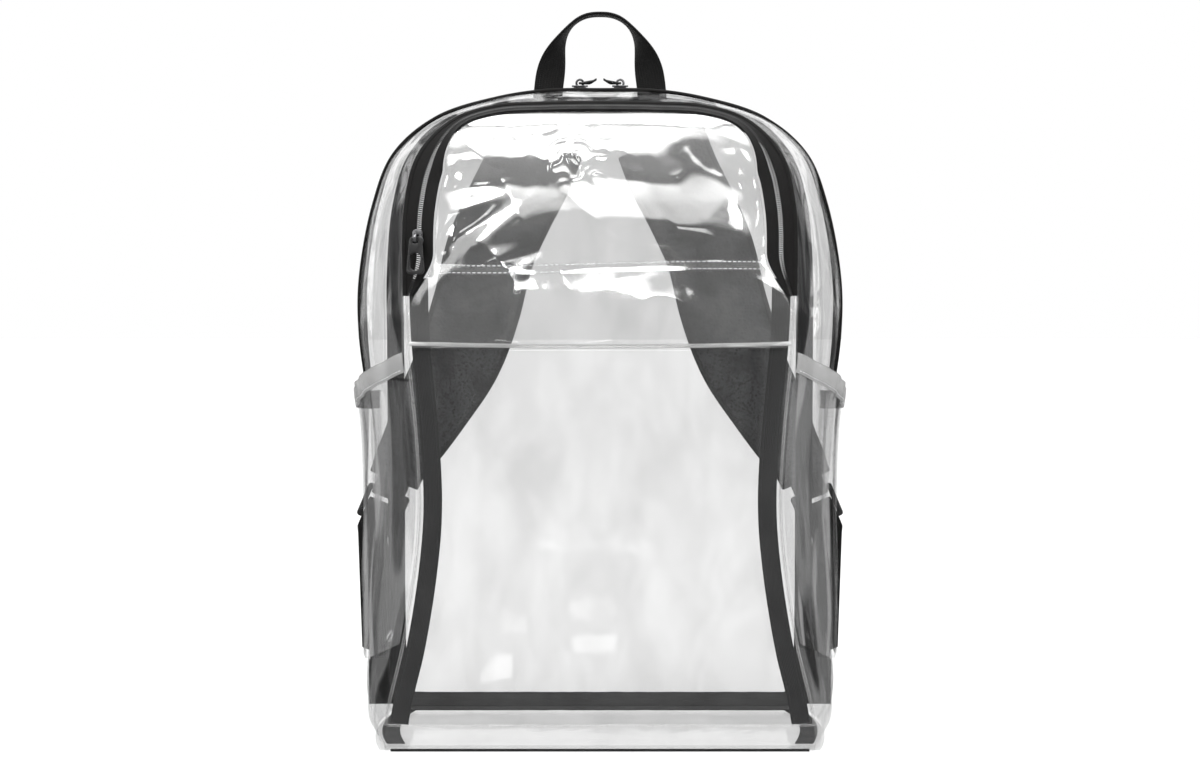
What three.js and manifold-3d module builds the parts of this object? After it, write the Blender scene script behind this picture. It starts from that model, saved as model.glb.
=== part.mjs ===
// A clear stadium backpack that stands on its base: clear film panels sewn to black tape, two zips,
// two open side pockets, a haul loop and a pair of padded shoulder straps with webbing adjusters.
// Millimetres, Z up, X to the viewer's right, and the front looks along -Y. The origin is the middle
// of the base at the floor.
import * as THREE from "three";
import { mergeVertices } from "three/addons/utils/BufferGeometryUtils.js";
import manifoldModule from "manifold-3d";

const manifold = await manifoldModule();
manifold.setup();

// The bag
const WIDTH = 364; // across the side pockets
const HEIGHT = 473; // floor to the top of the back panel
const DEPTH = 150; // front panel to back panel
const FILM = 1.2; // clear film
const TAPE = 1.0; // zip tape and seam binding
const GAP = 0.3; // left between neighbours that touch in the real bag
const MIDDLE_SHIFT = 5; // the gusset's fullest line lies this far behind mid-depth
const FRONT_BULGE = 4;
const BACK_BULGE = 3;

// The front pocket
const POCKET_SEAM_HEIGHT = 284; // where the lower panel ends and the pocket begins
const POCKET_BULGE = 13;
const POCKET_ZIP_END_HEIGHT = 322;
const POCKET_SLIDER_HEIGHT = 362;
const POCKET_TAPE_WIDTH = 20; // both tapes and the coil, at the sides
const POCKET_TAPE_TOP_DROP = 5; // how far the tapes come down the front at the top of the arch
const POCKET_TAPE_SIDE_LIFT = 6; // how far the inner edge stands off the inner wall, at the sides
const POCKET_TAPE_TOP_LIFT = 17; // and at the top

// The boot, seams and bindings
const BOOT_HEIGHT = 21;
const BINDING_WIDTH = 13;
const SEAM_INSET = 2.6;

// The main zip
const MAIN_ZIP_LINE = 0.72; // share of the way from the front seam to the back seam
const MAIN_ZIP_END_RISE = 14; // above the side pocket's mouth at the back
const MAIN_TAPE_WIDTH = 24; // both tapes and the coil
const MAIN_SLIDER_X = 15;
const COIL_WIDTH = 4;
const COIL_PROUD = 0.7;
const COIL_SUNK = 1.2;

// Side pockets
const SIDE_POCKET_BULGE = 10;
const SIDE_POCKET_MOUTH_FRONT = 284;
const SIDE_POCKET_MOUTH_BACK = 248;
const SIDE_POCKET_FLOOR_FRONT = 79;
const SIDE_POCKET_FLOOR_MIDDLE = 54;
const HEM_HEIGHT = 14;

// Haul loop
const HAUL_WIDTH = 22;
const HAUL_THICKNESS = 2;
const HAUL_LEG_X = 40;
const HAUL_RISE = 61; // above the bag's top
const HAUL_FOOT_DROP = 18; // below it

// Shoulder straps and their webbing
const STRAP_WIDTH = 70;
const STRAP_END_WIDTH = 40;
const STRAP_THICKNESS = 12;
const STRAP_ARCH = 46; // how far the strap stands off the back panel at its fullest
const WEBBING_WIDTH = 25;
const WEBBING_THICKNESS = 1.8;
const TAIL_LENGTH = 95;
const LOCK_THICKNESS = 4;
const LOCK_BAR = 4;
const LOCK_CHEEK = 4;
const LOCK_UPPER_SLOT = 9;
const LOCK_LOWER_SLOT = 6;
const ANCHOR_HEIGHT = 34;
const ANCHOR_THICKNESS = 1.5;
const ANCHOR_FLARE = 12; // how far its foot reaches in over the back panel

// Zip sliders and pulls
const SLIDER_WIDTH = 9;
const SLIDER_LENGTH = 12;
const SLIDER_THICKNESS = 3;
const BAIL_RADIUS = 3.4;
const BAIL_HOLE_RADIUS = 1.7;
const BAIL_THICKNESS = 2.4;
const PULL_THICKNESS = 1.8;
const PULL_BAR = 1.8;

const COLOURS = {
  clear: 0xdfe6ea,
  frosted: 0xf4f4f2,
  tape: 0x1b1b1c,
  webbing: 0x161617,
  padding: 0x202124,
  metal: 0x3a3a3c,
  moulded: 0x101011,
};

const half = WIDTH / 2;
const frontY = -DEPTH / 2;
const backY = DEPTH / 2;

// The bag's outline at three depths, from the base corner up and over to the top centre.
// X columns are shares of half the width, Z columns of the height, frontY of half the depth.
const OUTLINE_COLUMNS = ["frontX", "frontY", "frontZ", "middleX", "middleZ", "backX", "backZ"];
const OUTLINE = [
  [0.835, -0.840, 0.0045, 0.905, 0.0045, 0.857, 0.0045],
  [0.831, -0.985, 0.0300, 0.940, 0.0300, 0.885, 0.0300],
  [0.813, -1.000, 0.0760, 0.955, 0.0760, 0.901, 0.0760],
  [0.758, -1.000, 0.1650, 0.930, 0.1650, 0.907, 0.1650],
  [0.709, -1.000, 0.2830, 0.900, 0.2830, 0.907, 0.2830],
  [0.692, -1.000, 0.3700, 0.895, 0.3700, 0.907, 0.3700],
  [0.703, -1.000, 0.4740, 0.906, 0.4740, 0.907, 0.4740],
  [0.736, -1.000, 0.6170, 0.960, 0.6170, 0.907, 0.6170],
  [0.742, -1.000, 0.6960, 0.960, 0.7000, 0.907, 0.7080],
  [0.736, -0.960, 0.8140, 0.902, 0.8200, 0.880, 0.8250],
  [0.687, -0.880, 0.8880, 0.822, 0.8960, 0.815, 0.9030],
  [0.560, -0.750, 0.9390, 0.655, 0.9510, 0.675, 0.9600],
  [0.400, -0.650, 0.9600, 0.400, 0.9830, 0.440, 0.9900],
  [0.205, -0.610, 0.9650, 0.215, 0.9935, 0.240, 0.9995],
  [0.000, -0.610, 0.9660, 0.000, 0.9950, 0.000, 1.0000],
];

// The left shoulder strap's centre line: shares of half the width, the height and the strap's arch.
const STRAP_COLUMNS = ["x", "z", "off"];
const STRAP_LINE = [
  [-0.255, 0.925, 0.00],
  [-0.300, 0.880, 0.06],
  [-0.390, 0.815, 0.50],
  [-0.475, 0.745, 0.90],
  [-0.535, 0.655, 1.00],
  [-0.610, 0.570, 0.90],
  [-0.705, 0.500, 0.70],
  [-0.790, 0.440, 0.50],
  [-0.848, 0.402, 0.38],
  [-0.880, 0.372, 0.32],
];

// Helpers

function rows(columns, table) {
  return table.map((row) => Object.fromEntries(columns.map((name, i) => [name, row[i]])));
}

function clamp01(value) {
  return Math.min(1, Math.max(0, value));
}

function smooth(value, from, to) {
  const share = clamp01((value - from) / (to - from));
  return share * share * (3 - 2 * share);
}

function mix(a, b, share) {
  return a + (b - a) * share;
}

// Makes an indexed geometry face outward.
function outward(geometry) {
  const position = geometry.getAttribute("position");
  const index = geometry.getIndex().array;
  const [a, b, c] = [new THREE.Vector3(), new THREE.Vector3(), new THREE.Vector3()];
  let volume = 0;
  for (let i = 0; i < index.length; i += 3) {
    a.fromBufferAttribute(position, index[i]);
    b.fromBufferAttribute(position, index[i + 1]);
    c.fromBufferAttribute(position, index[i + 2]);
    volume += a.dot(b.cross(c));
  }
  if (volume < 0) {
    for (let i = 0; i < index.length; i += 3) {
      [index[i + 1], index[i + 2]] = [index[i + 2], index[i + 1]];
    }
  }
  geometry.computeVertexNormals();
  return geometry;
}

function indexed(points, faces) {
  const geometry = new THREE.BufferGeometry();
  geometry.setAttribute("position", new THREE.Float32BufferAttribute(points.flatMap((p) => [p.x, p.y, p.z]), 3));
  geometry.setIndex(faces.flat());
  return outward(geometry);
}

// A sheet of the given thickness behind surface(u, v), with u and v from 0 to 1. side is the sign of
// the thickness along the surface's normal.
function sheet(surface, uCells, vCells, thickness, side = -1) {
  const outer = [];
  const inner = [];
  const step = 1e-3;
  const clampedPoint = (u, v) => surface(clamp01(u), clamp01(v));
  for (let i = 0; i <= uCells; i += 1) {
    for (let j = 0; j <= vCells; j += 1) {
      const [u, v] = [i / uCells, j / vCells];
      const point = surface(u, v);
      const along = clampedPoint(u + step, v).sub(clampedPoint(u - step, v));
      const across = clampedPoint(u, v + step).sub(clampedPoint(u, v - step));
      const normal = along.cross(across).normalize();
      outer.push(point);
      inner.push(point.clone().addScaledVector(normal, side * thickness));
    }
  }
  const at = (i, j) => i * (vCells + 1) + j;
  const under = outer.length;
  const faces = [];
  const quad = (a, b, c, d) => faces.push([a, b, c], [a, c, d]);
  for (let i = 0; i < uCells; i += 1) {
    for (let j = 0; j < vCells; j += 1) {
      quad(at(i, j), at(i + 1, j), at(i + 1, j + 1), at(i, j + 1));
      quad(under + at(i, j), under + at(i, j + 1), under + at(i + 1, j + 1), under + at(i + 1, j));
    }
  }
  for (let i = 0; i < uCells; i += 1) {
    quad(at(i, 0), under + at(i, 0), under + at(i + 1, 0), at(i + 1, 0));
    quad(at(i + 1, vCells), under + at(i + 1, vCells), under + at(i, vCells), at(i, vCells));
  }
  for (let j = 0; j < vCells; j += 1) {
    quad(at(0, j + 1), under + at(0, j + 1), under + at(0, j), at(0, j));
    quad(at(uCells, j), under + at(uCells, j), under + at(uCells, j + 1), at(uCells, j + 1));
  }
  return indexed([...outer, ...inner], faces);
}

// A bar with one convex section at each frame. A frame has an origin and two directions, and the
// section gives distances along them.
function bar(frames, sectionAt) {
  const rings = frames.map((frame, i) =>
    sectionAt(i).map(([a, b]) => frame.origin.clone().addScaledVector(frame.across, a).addScaledVector(frame.up, b)),
  );
  const count = rings[0].length;
  const faces = [];
  for (let i = 0; i + 1 < rings.length; i += 1) {
    for (let j = 0; j < count; j += 1) {
      const next = (j + 1) % count;
      const [p, q] = [i * count, (i + 1) * count];
      faces.push([p + j, q + j, q + next], [p + j, q + next, p + next]);
    }
  }
  const last = (rings.length - 1) * count;
  for (let j = 1; j + 1 < count; j += 1) {
    faces.push([0, j, j + 1], [last, last + j + 1, last + j]);
  }
  return indexed(rings.flat(), faces);
}

function rectangle(width, thickness) {
  return [
    [-width / 2, -thickness / 2],
    [width / 2, -thickness / 2],
    [width / 2, thickness / 2],
    [-width / 2, thickness / 2],
  ];
}

// A pad's section: flat in the middle, with rounded edges.
function padSection(width, thickness) {
  const radius = thickness / 2;
  const flat = width / 2 - radius;
  const turns = [-90, -50, -15, 15, 50, 90].map((degrees) => THREE.MathUtils.degToRad(degrees));
  const right = turns.map((turn) => [flat + radius * Math.cos(turn), radius * Math.sin(turn)]);
  return [...right, ...right.map(([a, b]) => [-a, -b])];
}

function flatStrip(points, across, width, thickness) {
  const frames = points.map((origin, i) => {
    const before = points[Math.max(0, i - 1)];
    const after = points[Math.min(points.length - 1, i + 1)];
    const up = after.clone().sub(before).normalize().cross(across).normalize();
    return { origin, across, up };
  });
  return bar(frames, () => rectangle(width, thickness));
}

function toSolid(geometry) {
  const merged = mergeVertices(new THREE.BufferGeometry().copy(geometry).deleteAttribute("normal").deleteAttribute("uv"), 1e-4);
  return new manifold.Manifold(
    new manifold.Mesh({
      numProp: 3,
      vertProperties: merged.getAttribute("position").array,
      triVerts: new Uint32Array(merged.getIndex().array),
    }),
  );
}

function toGeometry(solid) {
  const mesh = solid.getMesh();
  const geometry = new THREE.BufferGeometry();
  geometry.setAttribute("position", new THREE.BufferAttribute(mesh.vertProperties, 3));
  geometry.setIndex(new THREE.BufferAttribute(mesh.triVerts, 1));
  geometry.computeVertexNormals();
  return geometry;
}

function roundedShape(width, bottom, top, radius) {
  const shape = new THREE.Shape();
  const side = width / 2;
  shape.moveTo(-side + radius, bottom);
  shape.lineTo(side - radius, bottom);
  shape.absarc(side - radius, bottom + radius, radius, -Math.PI / 2, 0, false);
  shape.lineTo(side, top - radius);
  shape.absarc(side - radius, top - radius, radius, 0, Math.PI / 2, false);
  shape.lineTo(-side + radius, top);
  shape.absarc(-side + radius, top - radius, radius, Math.PI / 2, Math.PI, false);
  shape.lineTo(-side, bottom + radius);
  shape.absarc(-side + radius, bottom + radius, radius, Math.PI, 1.5 * Math.PI, false);
  return shape;
}

function extruded(shape, thickness, curveSegments = 6) {
  const geometry = new THREE.ExtrudeGeometry(shape, { depth: thickness, bevelEnabled: false, curveSegments });
  return geometry.translate(0, 0, -thickness / 2);
}

// The bag's surfaces

const stations = rows(OUTLINE_COLUMNS, OUTLINE);

// Each outline runs from the left base corner over the top to the right one, so 0.5 is the top centre.
function outlineCurve(pointOf) {
  const left = stations.map((row) => {
    const point = pointOf(row);
    return new THREE.Vector3(-point.x, point.y, point.z);
  });
  const right = stations.slice(0, -1).reverse().map(pointOf);
  return new THREE.CatmullRomCurve3([...left, ...right], false, "centripetal");
}

const frontCurve = outlineCurve(
  (row) => new THREE.Vector3(row.frontX * half, (row.frontY * DEPTH) / 2, row.frontZ * HEIGHT),
);
const middleCurve = outlineCurve(
  (row) =>
    new THREE.Vector3(
      row.middleX * half,
      ((row.frontY + 1) * DEPTH) / 4 + MIDDLE_SHIFT,
      row.middleZ * HEIGHT,
    ),
);
const backCurve = outlineCurve((row) => new THREE.Vector3(row.backX * half, backY, row.backZ * HEIGHT));

// The gusset's outer face: share 0 is the front seam, 1 the back seam.
function gusset(share, station) {
  const front = frontCurve.getPoint(station);
  const middle = middleCurve.getPoint(station);
  const back = backCurve.getPoint(station);
  return front
    .multiplyScalar((1 - share) * (1 - 2 * share))
    .addScaledVector(middle, 4 * share * (1 - share))
    .addScaledVector(back, share * (2 * share - 1));
}

function gussetNormal(share, station) {
  const step = 1e-3;
  const along = gusset(share, Math.min(1, station + step)).sub(gusset(share, Math.max(0, station - step)));
  const across = gusset(Math.min(1, share + step), station).sub(gusset(Math.max(0, share - step), station));
  return across.cross(along).normalize().multiplyScalar(-1);
}

function gussetLength(station) {
  const middle = gusset(0.5, station);
  return middle.distanceTo(gusset(0, station)) + middle.distanceTo(gusset(1, station));
}

// The share across the gusset that lies a distance in mm behind another share.
function shareBehind(share, distance, station) {
  return share + distance / gussetLength(station);
}

function raised(share, station, distance) {
  return gusset(share, station).addScaledVector(gussetNormal(share, station), distance);
}

// Where a curve that climbs from station 0 to the top centre reaches a height.
function stationAtHeight(pointAt, height) {
  let [low, high] = [0, 0.5];
  for (let i = 0; i < 40; i += 1) {
    const middle = (low + high) / 2;
    if (pointAt(middle).z < height) low = middle;
    else high = middle;
  }
  return (low + high) / 2;
}

function edgeAtHeight(pointAt, height) {
  return pointAt(stationAtHeight(pointAt, height));
}

const frontPoint = (station) => frontCurve.getPoint(station);
const backPoint = (station) => backCurve.getPoint(station);

function inwardDirection(pointAt, station) {
  const step = 1e-3;
  const along = pointAt(Math.min(1, station + step)).sub(pointAt(Math.max(0, station - step)));
  return new THREE.Vector3(along.z, 0, -along.x).normalize();
}

// A panel between two heights that reaches from side to side. bulge is how far it swells toward
// outSign along Y in its middle.
function spanPanel(pointAt, from, to, bulge, outSign) {
  return (u, v) => {
    const edge = edgeAtHeight(pointAt, mix(from, to, v));
    const swell = bulge * (1 - (2 * u - 1) ** 2) * Math.sin(Math.PI * v);
    return new THREE.Vector3(mix(edge.x, -edge.x, u), edge.y + outSign * swell, edge.z);
  };
}

// Front, base and back panels

const bagTopFront = frontPoint(0.5).z;

const frontLowerPanel = sheet(
  spanPanel(frontPoint, BOOT_HEIGHT + GAP, POCKET_SEAM_HEIGHT, FRONT_BULGE, -1), 10, 10, FILM);

const frontUpperPanel = sheet(
  spanPanel(frontPoint, POCKET_SEAM_HEIGHT + GAP, bagTopFront - 2 * FILM, 0, -1), 8, 12, FILM);

const backPanelFoot = HEIGHT * 0.0045;
const backPanelTop = HEIGHT - FILM;
const backPanel = sheet(spanPanel(backPoint, backPanelFoot, backPanelTop, BACK_BULGE, 1), 6, 16, FILM, 1);

// The outer face of the back panel at a place on it.
function backFace(x, z) {
  const reach = 1 - (x / edgeAtHeight(backPoint, z).x) ** 2;
  return backY + BACK_BULGE * reach * Math.sin((Math.PI * (z - backPanelFoot)) / (backPanelTop - backPanelFoot));
}

// The base turns up at the front as a boot. Columns: the way from front to back, and the height.
const BASE_PROFILE = [
  [frontY, BOOT_HEIGHT],
  [frontY, 12],
  [frontY + 4.5, 4],
  [frontY + 13, 0],
  [frontY * 0.4, 0],
  [backY * 0.2, 0],
  [backY * 0.7, 0],
  [backY - FILM - GAP, 0],
];

function basePoint(u, v) {
  const place = v * (BASE_PROFILE.length - 1);
  const row = Math.min(BASE_PROFILE.length - 2, Math.floor(place));
  const y = mix(BASE_PROFILE[row][0], BASE_PROFILE[row + 1][0], place - row);
  const z = mix(BASE_PROFILE[row][1], BASE_PROFILE[row + 1][1], place - row);
  const share = clamp01((y - frontY) / DEPTH);
  const side = z > 0 ? edgeAtHeight(frontPoint, Math.max(z, HEIGHT * 0.0046)).x : gusset(share, 0).x;
  return new THREE.Vector3(mix(side, -side, u), y, z);
}

const basePanel = sheet(basePoint, 8, BASE_PROFILE.length - 1, FILM, 1);

// Gussets and the main zip between them

const frontEdgeShare = (station) => (FILM + GAP) / gussetLength(station);
const backEdgeShare = (station) => 1 - (FILM + GAP) / gussetLength(station);
const mainZipEnd = stationAtHeight(frontPoint, SIDE_POCKET_MOUTH_BACK + MAIN_ZIP_END_RISE);

// A strip of the gusset between two shares and two stations.
function gussetStrip(shareFrom, shareTo, from, to, lift = 0) {
  return (u, v) => {
    const station = mix(from, to, u);
    return raised(mix(shareFrom(station), shareTo(station), v), station, lift);
  };
}

const zipShare = (distance) => (station) => shareBehind(MAIN_ZIP_LINE, distance, station);
const tapeHalf = MAIN_TAPE_WIDTH / 2;
const coilHalf = COIL_WIDTH / 2;

const sideGusset = sheet(gussetStrip(frontEdgeShare, backEdgeShare, 0, mainZipEnd), 12, 8, FILM);
const topGusset = sheet(
  gussetStrip(frontEdgeShare, zipShare(-tapeHalf - GAP), mainZipEnd + 0.001, 1 - mainZipEnd - 0.001), 34, 5, FILM);
const rearGusset = sheet(
  gussetStrip(zipShare(tapeHalf + GAP), backEdgeShare, mainZipEnd + 0.001, 1 - mainZipEnd - 0.001), 34, 2, FILM);

function mainZipStrip(from, to) {
  return sheet(
    gussetStrip(zipShare(from), zipShare(to), mainZipEnd + 0.001, 1 - mainZipEnd - 0.001), 34, 1, TAPE);
}

const mainTapeFront = mainZipStrip(-tapeHalf, -coilHalf - GAP);
const mainTapeRear = mainZipStrip(coilHalf + GAP, tapeHalf);
const mainCoil = sheet(
  gussetStrip(zipShare(-coilHalf), zipShare(coilHalf), mainZipEnd + 0.001, 1 - mainZipEnd - 0.001, COIL_PROUD),
  34, 1, COIL_PROUD + COIL_SUNK);

// Bindings on the inside of the seams

// A binding inside the front or back panel, from one station to another. It lies this far in from
// the panel's outer face, and inSign is the way into the bag along Y.
function seamBinding(pointAt, from, to, cells, inSign) {
  const surface = (u, v) => {
    const station = mix(from, to, u);
    const inset = SEAM_INSET + v * BINDING_WIDTH;
    const point = pointAt(station).addScaledVector(inwardDirection(pointAt, station), inset);
    point.y += inSign * (FILM + GAP);
    return point;
  };
  return sheet(surface, cells, 1, TAPE, inSign);
}

const boot = stationAtHeight(frontPoint, BOOT_HEIGHT + 2);
const bindingEnd = stationAtHeight(frontPoint, POCKET_ZIP_END_HEIGHT + 12);
const frontBinding = seamBinding(frontPoint, boot, bindingEnd, 14, 1);
const backSeamStart = stationAtHeight(backPoint, BINDING_WIDTH + 6);
const backBinding = seamBinding(backPoint, backSeamStart, 1 - backSeamStart, 36, -1);

function backBasePoint(u, v) {
  const side = backPoint(0).x + SEAM_INSET + FILM;
  const x = mix(side, -side, u);
  const arch = 4 * (1 - (2 * u - 1) ** 2);
  return new THREE.Vector3(x, backY - FILM - GAP, mix(2.2, BINDING_WIDTH + 3, v) + arch * v);
}

const backBaseBinding = sheet(backBasePoint, 10, 1, TAPE, 1);

function baseSidePoint(u, v) {
  const share = mix(0.1, 0.965, u);
  const edge = gusset(share, 0);
  return new THREE.Vector3(edge.x + SEAM_INSET + FILM + v * BINDING_WIDTH, edge.y, FILM + GAP);
}

const baseBinding = sheet(baseSidePoint, 10, 1, TAPE, -1);

// The front pocket and its zip

function pocketTapeInset(height) {
  const sides = POCKET_TAPE_WIDTH * smooth(height, POCKET_ZIP_END_HEIGHT - 14, POCKET_ZIP_END_HEIGHT + 30);
  return mix(sides, POCKET_TAPE_TOP_DROP, smooth(height, HEIGHT * 0.87, bagTopFront - 3));
}

function pocketTapeLift(height) {
  const sides = POCKET_TAPE_SIDE_LIFT * smooth(height, POCKET_SEAM_HEIGHT, POCKET_ZIP_END_HEIGHT + 40);
  return mix(sides, POCKET_TAPE_TOP_LIFT, smooth(height, HEIGHT * 0.84, bagTopFront - 3));
}

// The pocket zip's outer face: share 0 is its outer edge at the front seam, 1 its inner edge. beyond
// is a distance in mm past that share, toward the middle of the panel.
function pocketTape(share, station, beyond = 0) {
  const edge = frontPoint(station);
  const inward = inwardDirection(frontPoint, station);
  const inset = pocketTapeInset(edge.z) * share + beyond;
  const lift = FILM + GAP + pocketTapeLift(edge.z) * share;
  const point = edge.addScaledVector(inward, inset);
  point.y -= lift;
  return point;
}

// The way off the pocket zip, out of the bag.
function pocketTapeNormal(station) {
  const step = 1e-3;
  const along = pocketTape(0.5, station + step).sub(pocketTape(0.5, station - step));
  const across = pocketTape(1, station).sub(pocketTape(0, station));
  return across.cross(along).normalize();
}

const pocketZipStart = stationAtHeight(frontPoint, POCKET_ZIP_END_HEIGHT);

function pocketZipStrip(from, to, lift, thickness) {
  const surface = (u, v) => {
    const station = mix(pocketZipStart, 1 - pocketZipStart, u);
    const point = pocketTape(mix(from, to, v), station);
    return point.addScaledVector(pocketTapeNormal(station), lift);
  };
  return sheet(surface, 36, 1, thickness, 1);
}

const pocketTapeOuter = pocketZipStrip(0, 0.38, 0, TAPE);
const pocketTapeInner = pocketZipStrip(0.62, 1, 0, TAPE);
const pocketCoil = pocketZipStrip(0.4, 0.6, COIL_PROUD, COIL_PROUD + COIL_SUNK);

const pocketEdge = (station) => pocketTape(1, station, FILM + 2 * GAP);

// The pocket's front swells quickly above its bottom seam and settles back toward the zip at the top.
function pocketPoint(u, v) {
  const top = pocketEdge(0.5).z - GAP;
  const edge = edgeAtHeight(pocketEdge, mix(POCKET_SEAM_HEIGHT + 2, top, v));
  const crown = (1 - (2 * u - 1) ** 4) * Math.sin((Math.PI / 2) * Math.min(1, v / 0.3)) ** 0.6;
  const swell = POCKET_BULGE * crown * (1 - v ** 3);
  return new THREE.Vector3(mix(edge.x, -edge.x, u), edge.y - swell, edge.z);
}

const pocketPanel = sheet(pocketPoint, 12, 14, FILM);

// Side pockets

function sidePocketHeights(share) {
  const mouth = mix(SIDE_POCKET_MOUTH_FRONT, SIDE_POCKET_MOUTH_BACK, Math.sin((Math.PI / 2) * share));
  const floor = mix(SIDE_POCKET_FLOOR_FRONT, SIDE_POCKET_FLOOR_MIDDLE, Math.sin(Math.PI * clamp01(share * 0.9)));
  return { mouth, floor };
}

// The side pocket's outer face: u runs from its front edge to its back edge and rise from its floor
// to its mouth.
function sidePocketPoint(u, rise, extra) {
  const share = mix(0.02, 0.98, u);
  const { mouth, floor } = sidePocketHeights(share);
  const station = stationAtHeight(frontPoint, mix(floor, mouth, rise));
  const swell = Math.sin(Math.PI * u) ** 0.8 * Math.sin((Math.PI / 2) * Math.min(1, rise / 0.45)) ** 0.7;
  const fullness = swell * (1 - 0.25 * rise ** 2);
  return raised(share, station, FILM + GAP + extra + SIDE_POCKET_BULGE * fullness);
}

const sidePocket = sheet((u, v) => sidePocketPoint(u, v, 0), 10, 9, FILM, 1);

const sideHem = sheet((u, v) => {
  const { mouth, floor } = sidePocketHeights(mix(0.02, 0.98, u));
  return sidePocketPoint(u, 1 - (v * HEM_HEIGHT) / (mouth - floor), 2 * GAP + TAPE);
}, 10, 1, TAPE);

// Haul loop

function haulLoop() {
  const turns = 28;
  const frames = [];
  const crown = HEIGHT + HAUL_RISE;
  const foot = HEIGHT - HAUL_FOOT_DROP;
  const rise = crown - HAUL_THICKNESS / 2 - foot;
  for (let i = 0; i <= turns; i += 1) {
    const angle = (Math.PI * i) / turns;
    const x = -HAUL_LEG_X * Math.sign(Math.cos(angle)) * Math.abs(Math.cos(angle)) ** 0.8;
    const z = foot + rise * Math.sin(angle) ** 0.9;
    const y = backFace(0, foot) + GAP + HAUL_THICKNESS / 2;
    const twist = smooth(z, HEIGHT + 2 * HAUL_THICKNESS, crown - 3 * HAUL_THICKNESS) * (Math.PI / 2);
    const origin = new THREE.Vector3(x, y, z);
    frames.push({ origin, twist });
  }
  return bar(
    frames.map(({ origin, twist }, i) => {
      const before = frames[Math.max(0, i - 1)].origin;
      const after = frames[Math.min(turns, i + 1)].origin;
      const along = after.clone().sub(before).normalize();
      const level = new THREE.Vector3(0, 1, 0).cross(along).normalize();
      const across = level.clone().multiplyScalar(Math.cos(twist)).addScaledVector(new THREE.Vector3(0, 1, 0), Math.sin(twist));
      const up = along.clone().cross(across).normalize();
      return { origin, across, up };
    }),
    () => rectangle(HAUL_WIDTH, HAUL_THICKNESS),
  );
}

// Shoulder straps, webbing and locks

const strapBase = backFace(STRAP_LINE[0][0] * half, STRAP_LINE[0][1] * HEIGHT) + GAP + STRAP_THICKNESS / 2;
const strapCurve = new THREE.CatmullRomCurve3(
  rows(STRAP_COLUMNS, STRAP_LINE).map(
    (row) => new THREE.Vector3(row.x * half, strapBase + row.off * STRAP_ARCH, row.z * HEIGHT),
  ),
  false,
  "centripetal",
);

function strapFrame(share) {
  const origin = strapCurve.getPoint(share);
  const along = strapCurve.getTangent(share);
  const across = new THREE.Vector3(0, 1, 0).cross(along).normalize();
  const up = along.clone().cross(across).normalize();
  return { origin, across, up, along };
}

function strapWidth(share) {
  return mix(STRAP_WIDTH, STRAP_END_WIDTH, smooth(share, 0.45, 1));
}

const strapFrames = Array.from({ length: 25 }, (_, i) => strapFrame(i / 24));
const shoulderStrap = bar(strapFrames, (i) => padSection(strapWidth(i / 24), STRAP_THICKNESS));

// The lock hangs from the strap's end, and its own frame has X across, Y along the webbing and Z off
// the bag.
const strapEnd = strapFrame(1);
const legOffset = Math.hypot(LOCK_BAR, LOCK_THICKNESS) / 2 + GAP + WEBBING_THICKNESS / 2;
const lockHeight = 3 * LOCK_BAR + LOCK_UPPER_SLOT + LOCK_LOWER_SLOT;
const lockWidth = WEBBING_WIDTH + 2 * (LOCK_CHEEK + GAP * 2);
const loopDrop = 10;
const lockAcross = strapEnd.across.clone().negate();
const lockFrame = new THREE.Matrix4()
  .makeBasis(lockAcross, strapEnd.along, new THREE.Vector3().crossVectors(lockAcross, strapEnd.along))
  .setPosition(strapEnd.origin.clone().addScaledVector(strapEnd.along, loopDrop));

function inLockFrame(points) {
  return points.map(([y, z]) => new THREE.Vector3(0, y, z).applyMatrix4(lockFrame));
}

// Half a turn of webbing round a bar whose middle is at y = middle: it opens toward sign along Y.
function halfTurn(middle, sign) {
  const steps = 8;
  const points = [];
  for (let i = 0; i <= steps; i += 1) {
    const angle = (Math.PI * i) / steps;
    points.push([middle - sign * legOffset * Math.sin(angle), -legOffset * Math.cos(angle)]);
  }
  return points;
}

function ladderLock() {
  const shape = roundedShape(lockWidth, -LOCK_BAR / 2, lockHeight - LOCK_BAR / 2, 2);
  const slotWidth = WEBBING_WIDTH + 4 * GAP;
  const slots = [
    [LOCK_BAR / 2, LOCK_BAR / 2 + LOCK_UPPER_SLOT],
    [1.5 * LOCK_BAR + LOCK_UPPER_SLOT, 1.5 * LOCK_BAR + LOCK_UPPER_SLOT + LOCK_LOWER_SLOT],
  ];
  slots.forEach(([from, to]) => shape.holes.push(roundedShape(slotWidth, from, to, 0.8)));
  return extruded(shape, LOCK_THICKNESS, 3).applyMatrix4(lockFrame);
}

function strapLoop() {
  const start = -loopDrop + GAP;
  const points = inLockFrame([[start, -legOffset], ...halfTurn(0, -1), [start, legOffset]]);
  return flatStrip(points, strapEnd.across, WEBBING_WIDTH, WEBBING_THICKNESS);
}

const middleBar = LOCK_BAR + LOCK_UPPER_SLOT;
const anchorX = -half * 0.905;
const anchorFace = backFace(anchorX, ANCHOR_HEIGHT) + GAP + ANCHOR_THICKNESS;
const webbingAnchor = new THREE.Vector3(anchorX, anchorFace + GAP + WEBBING_THICKNESS / 2, ANCHOR_HEIGHT - 14);

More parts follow.
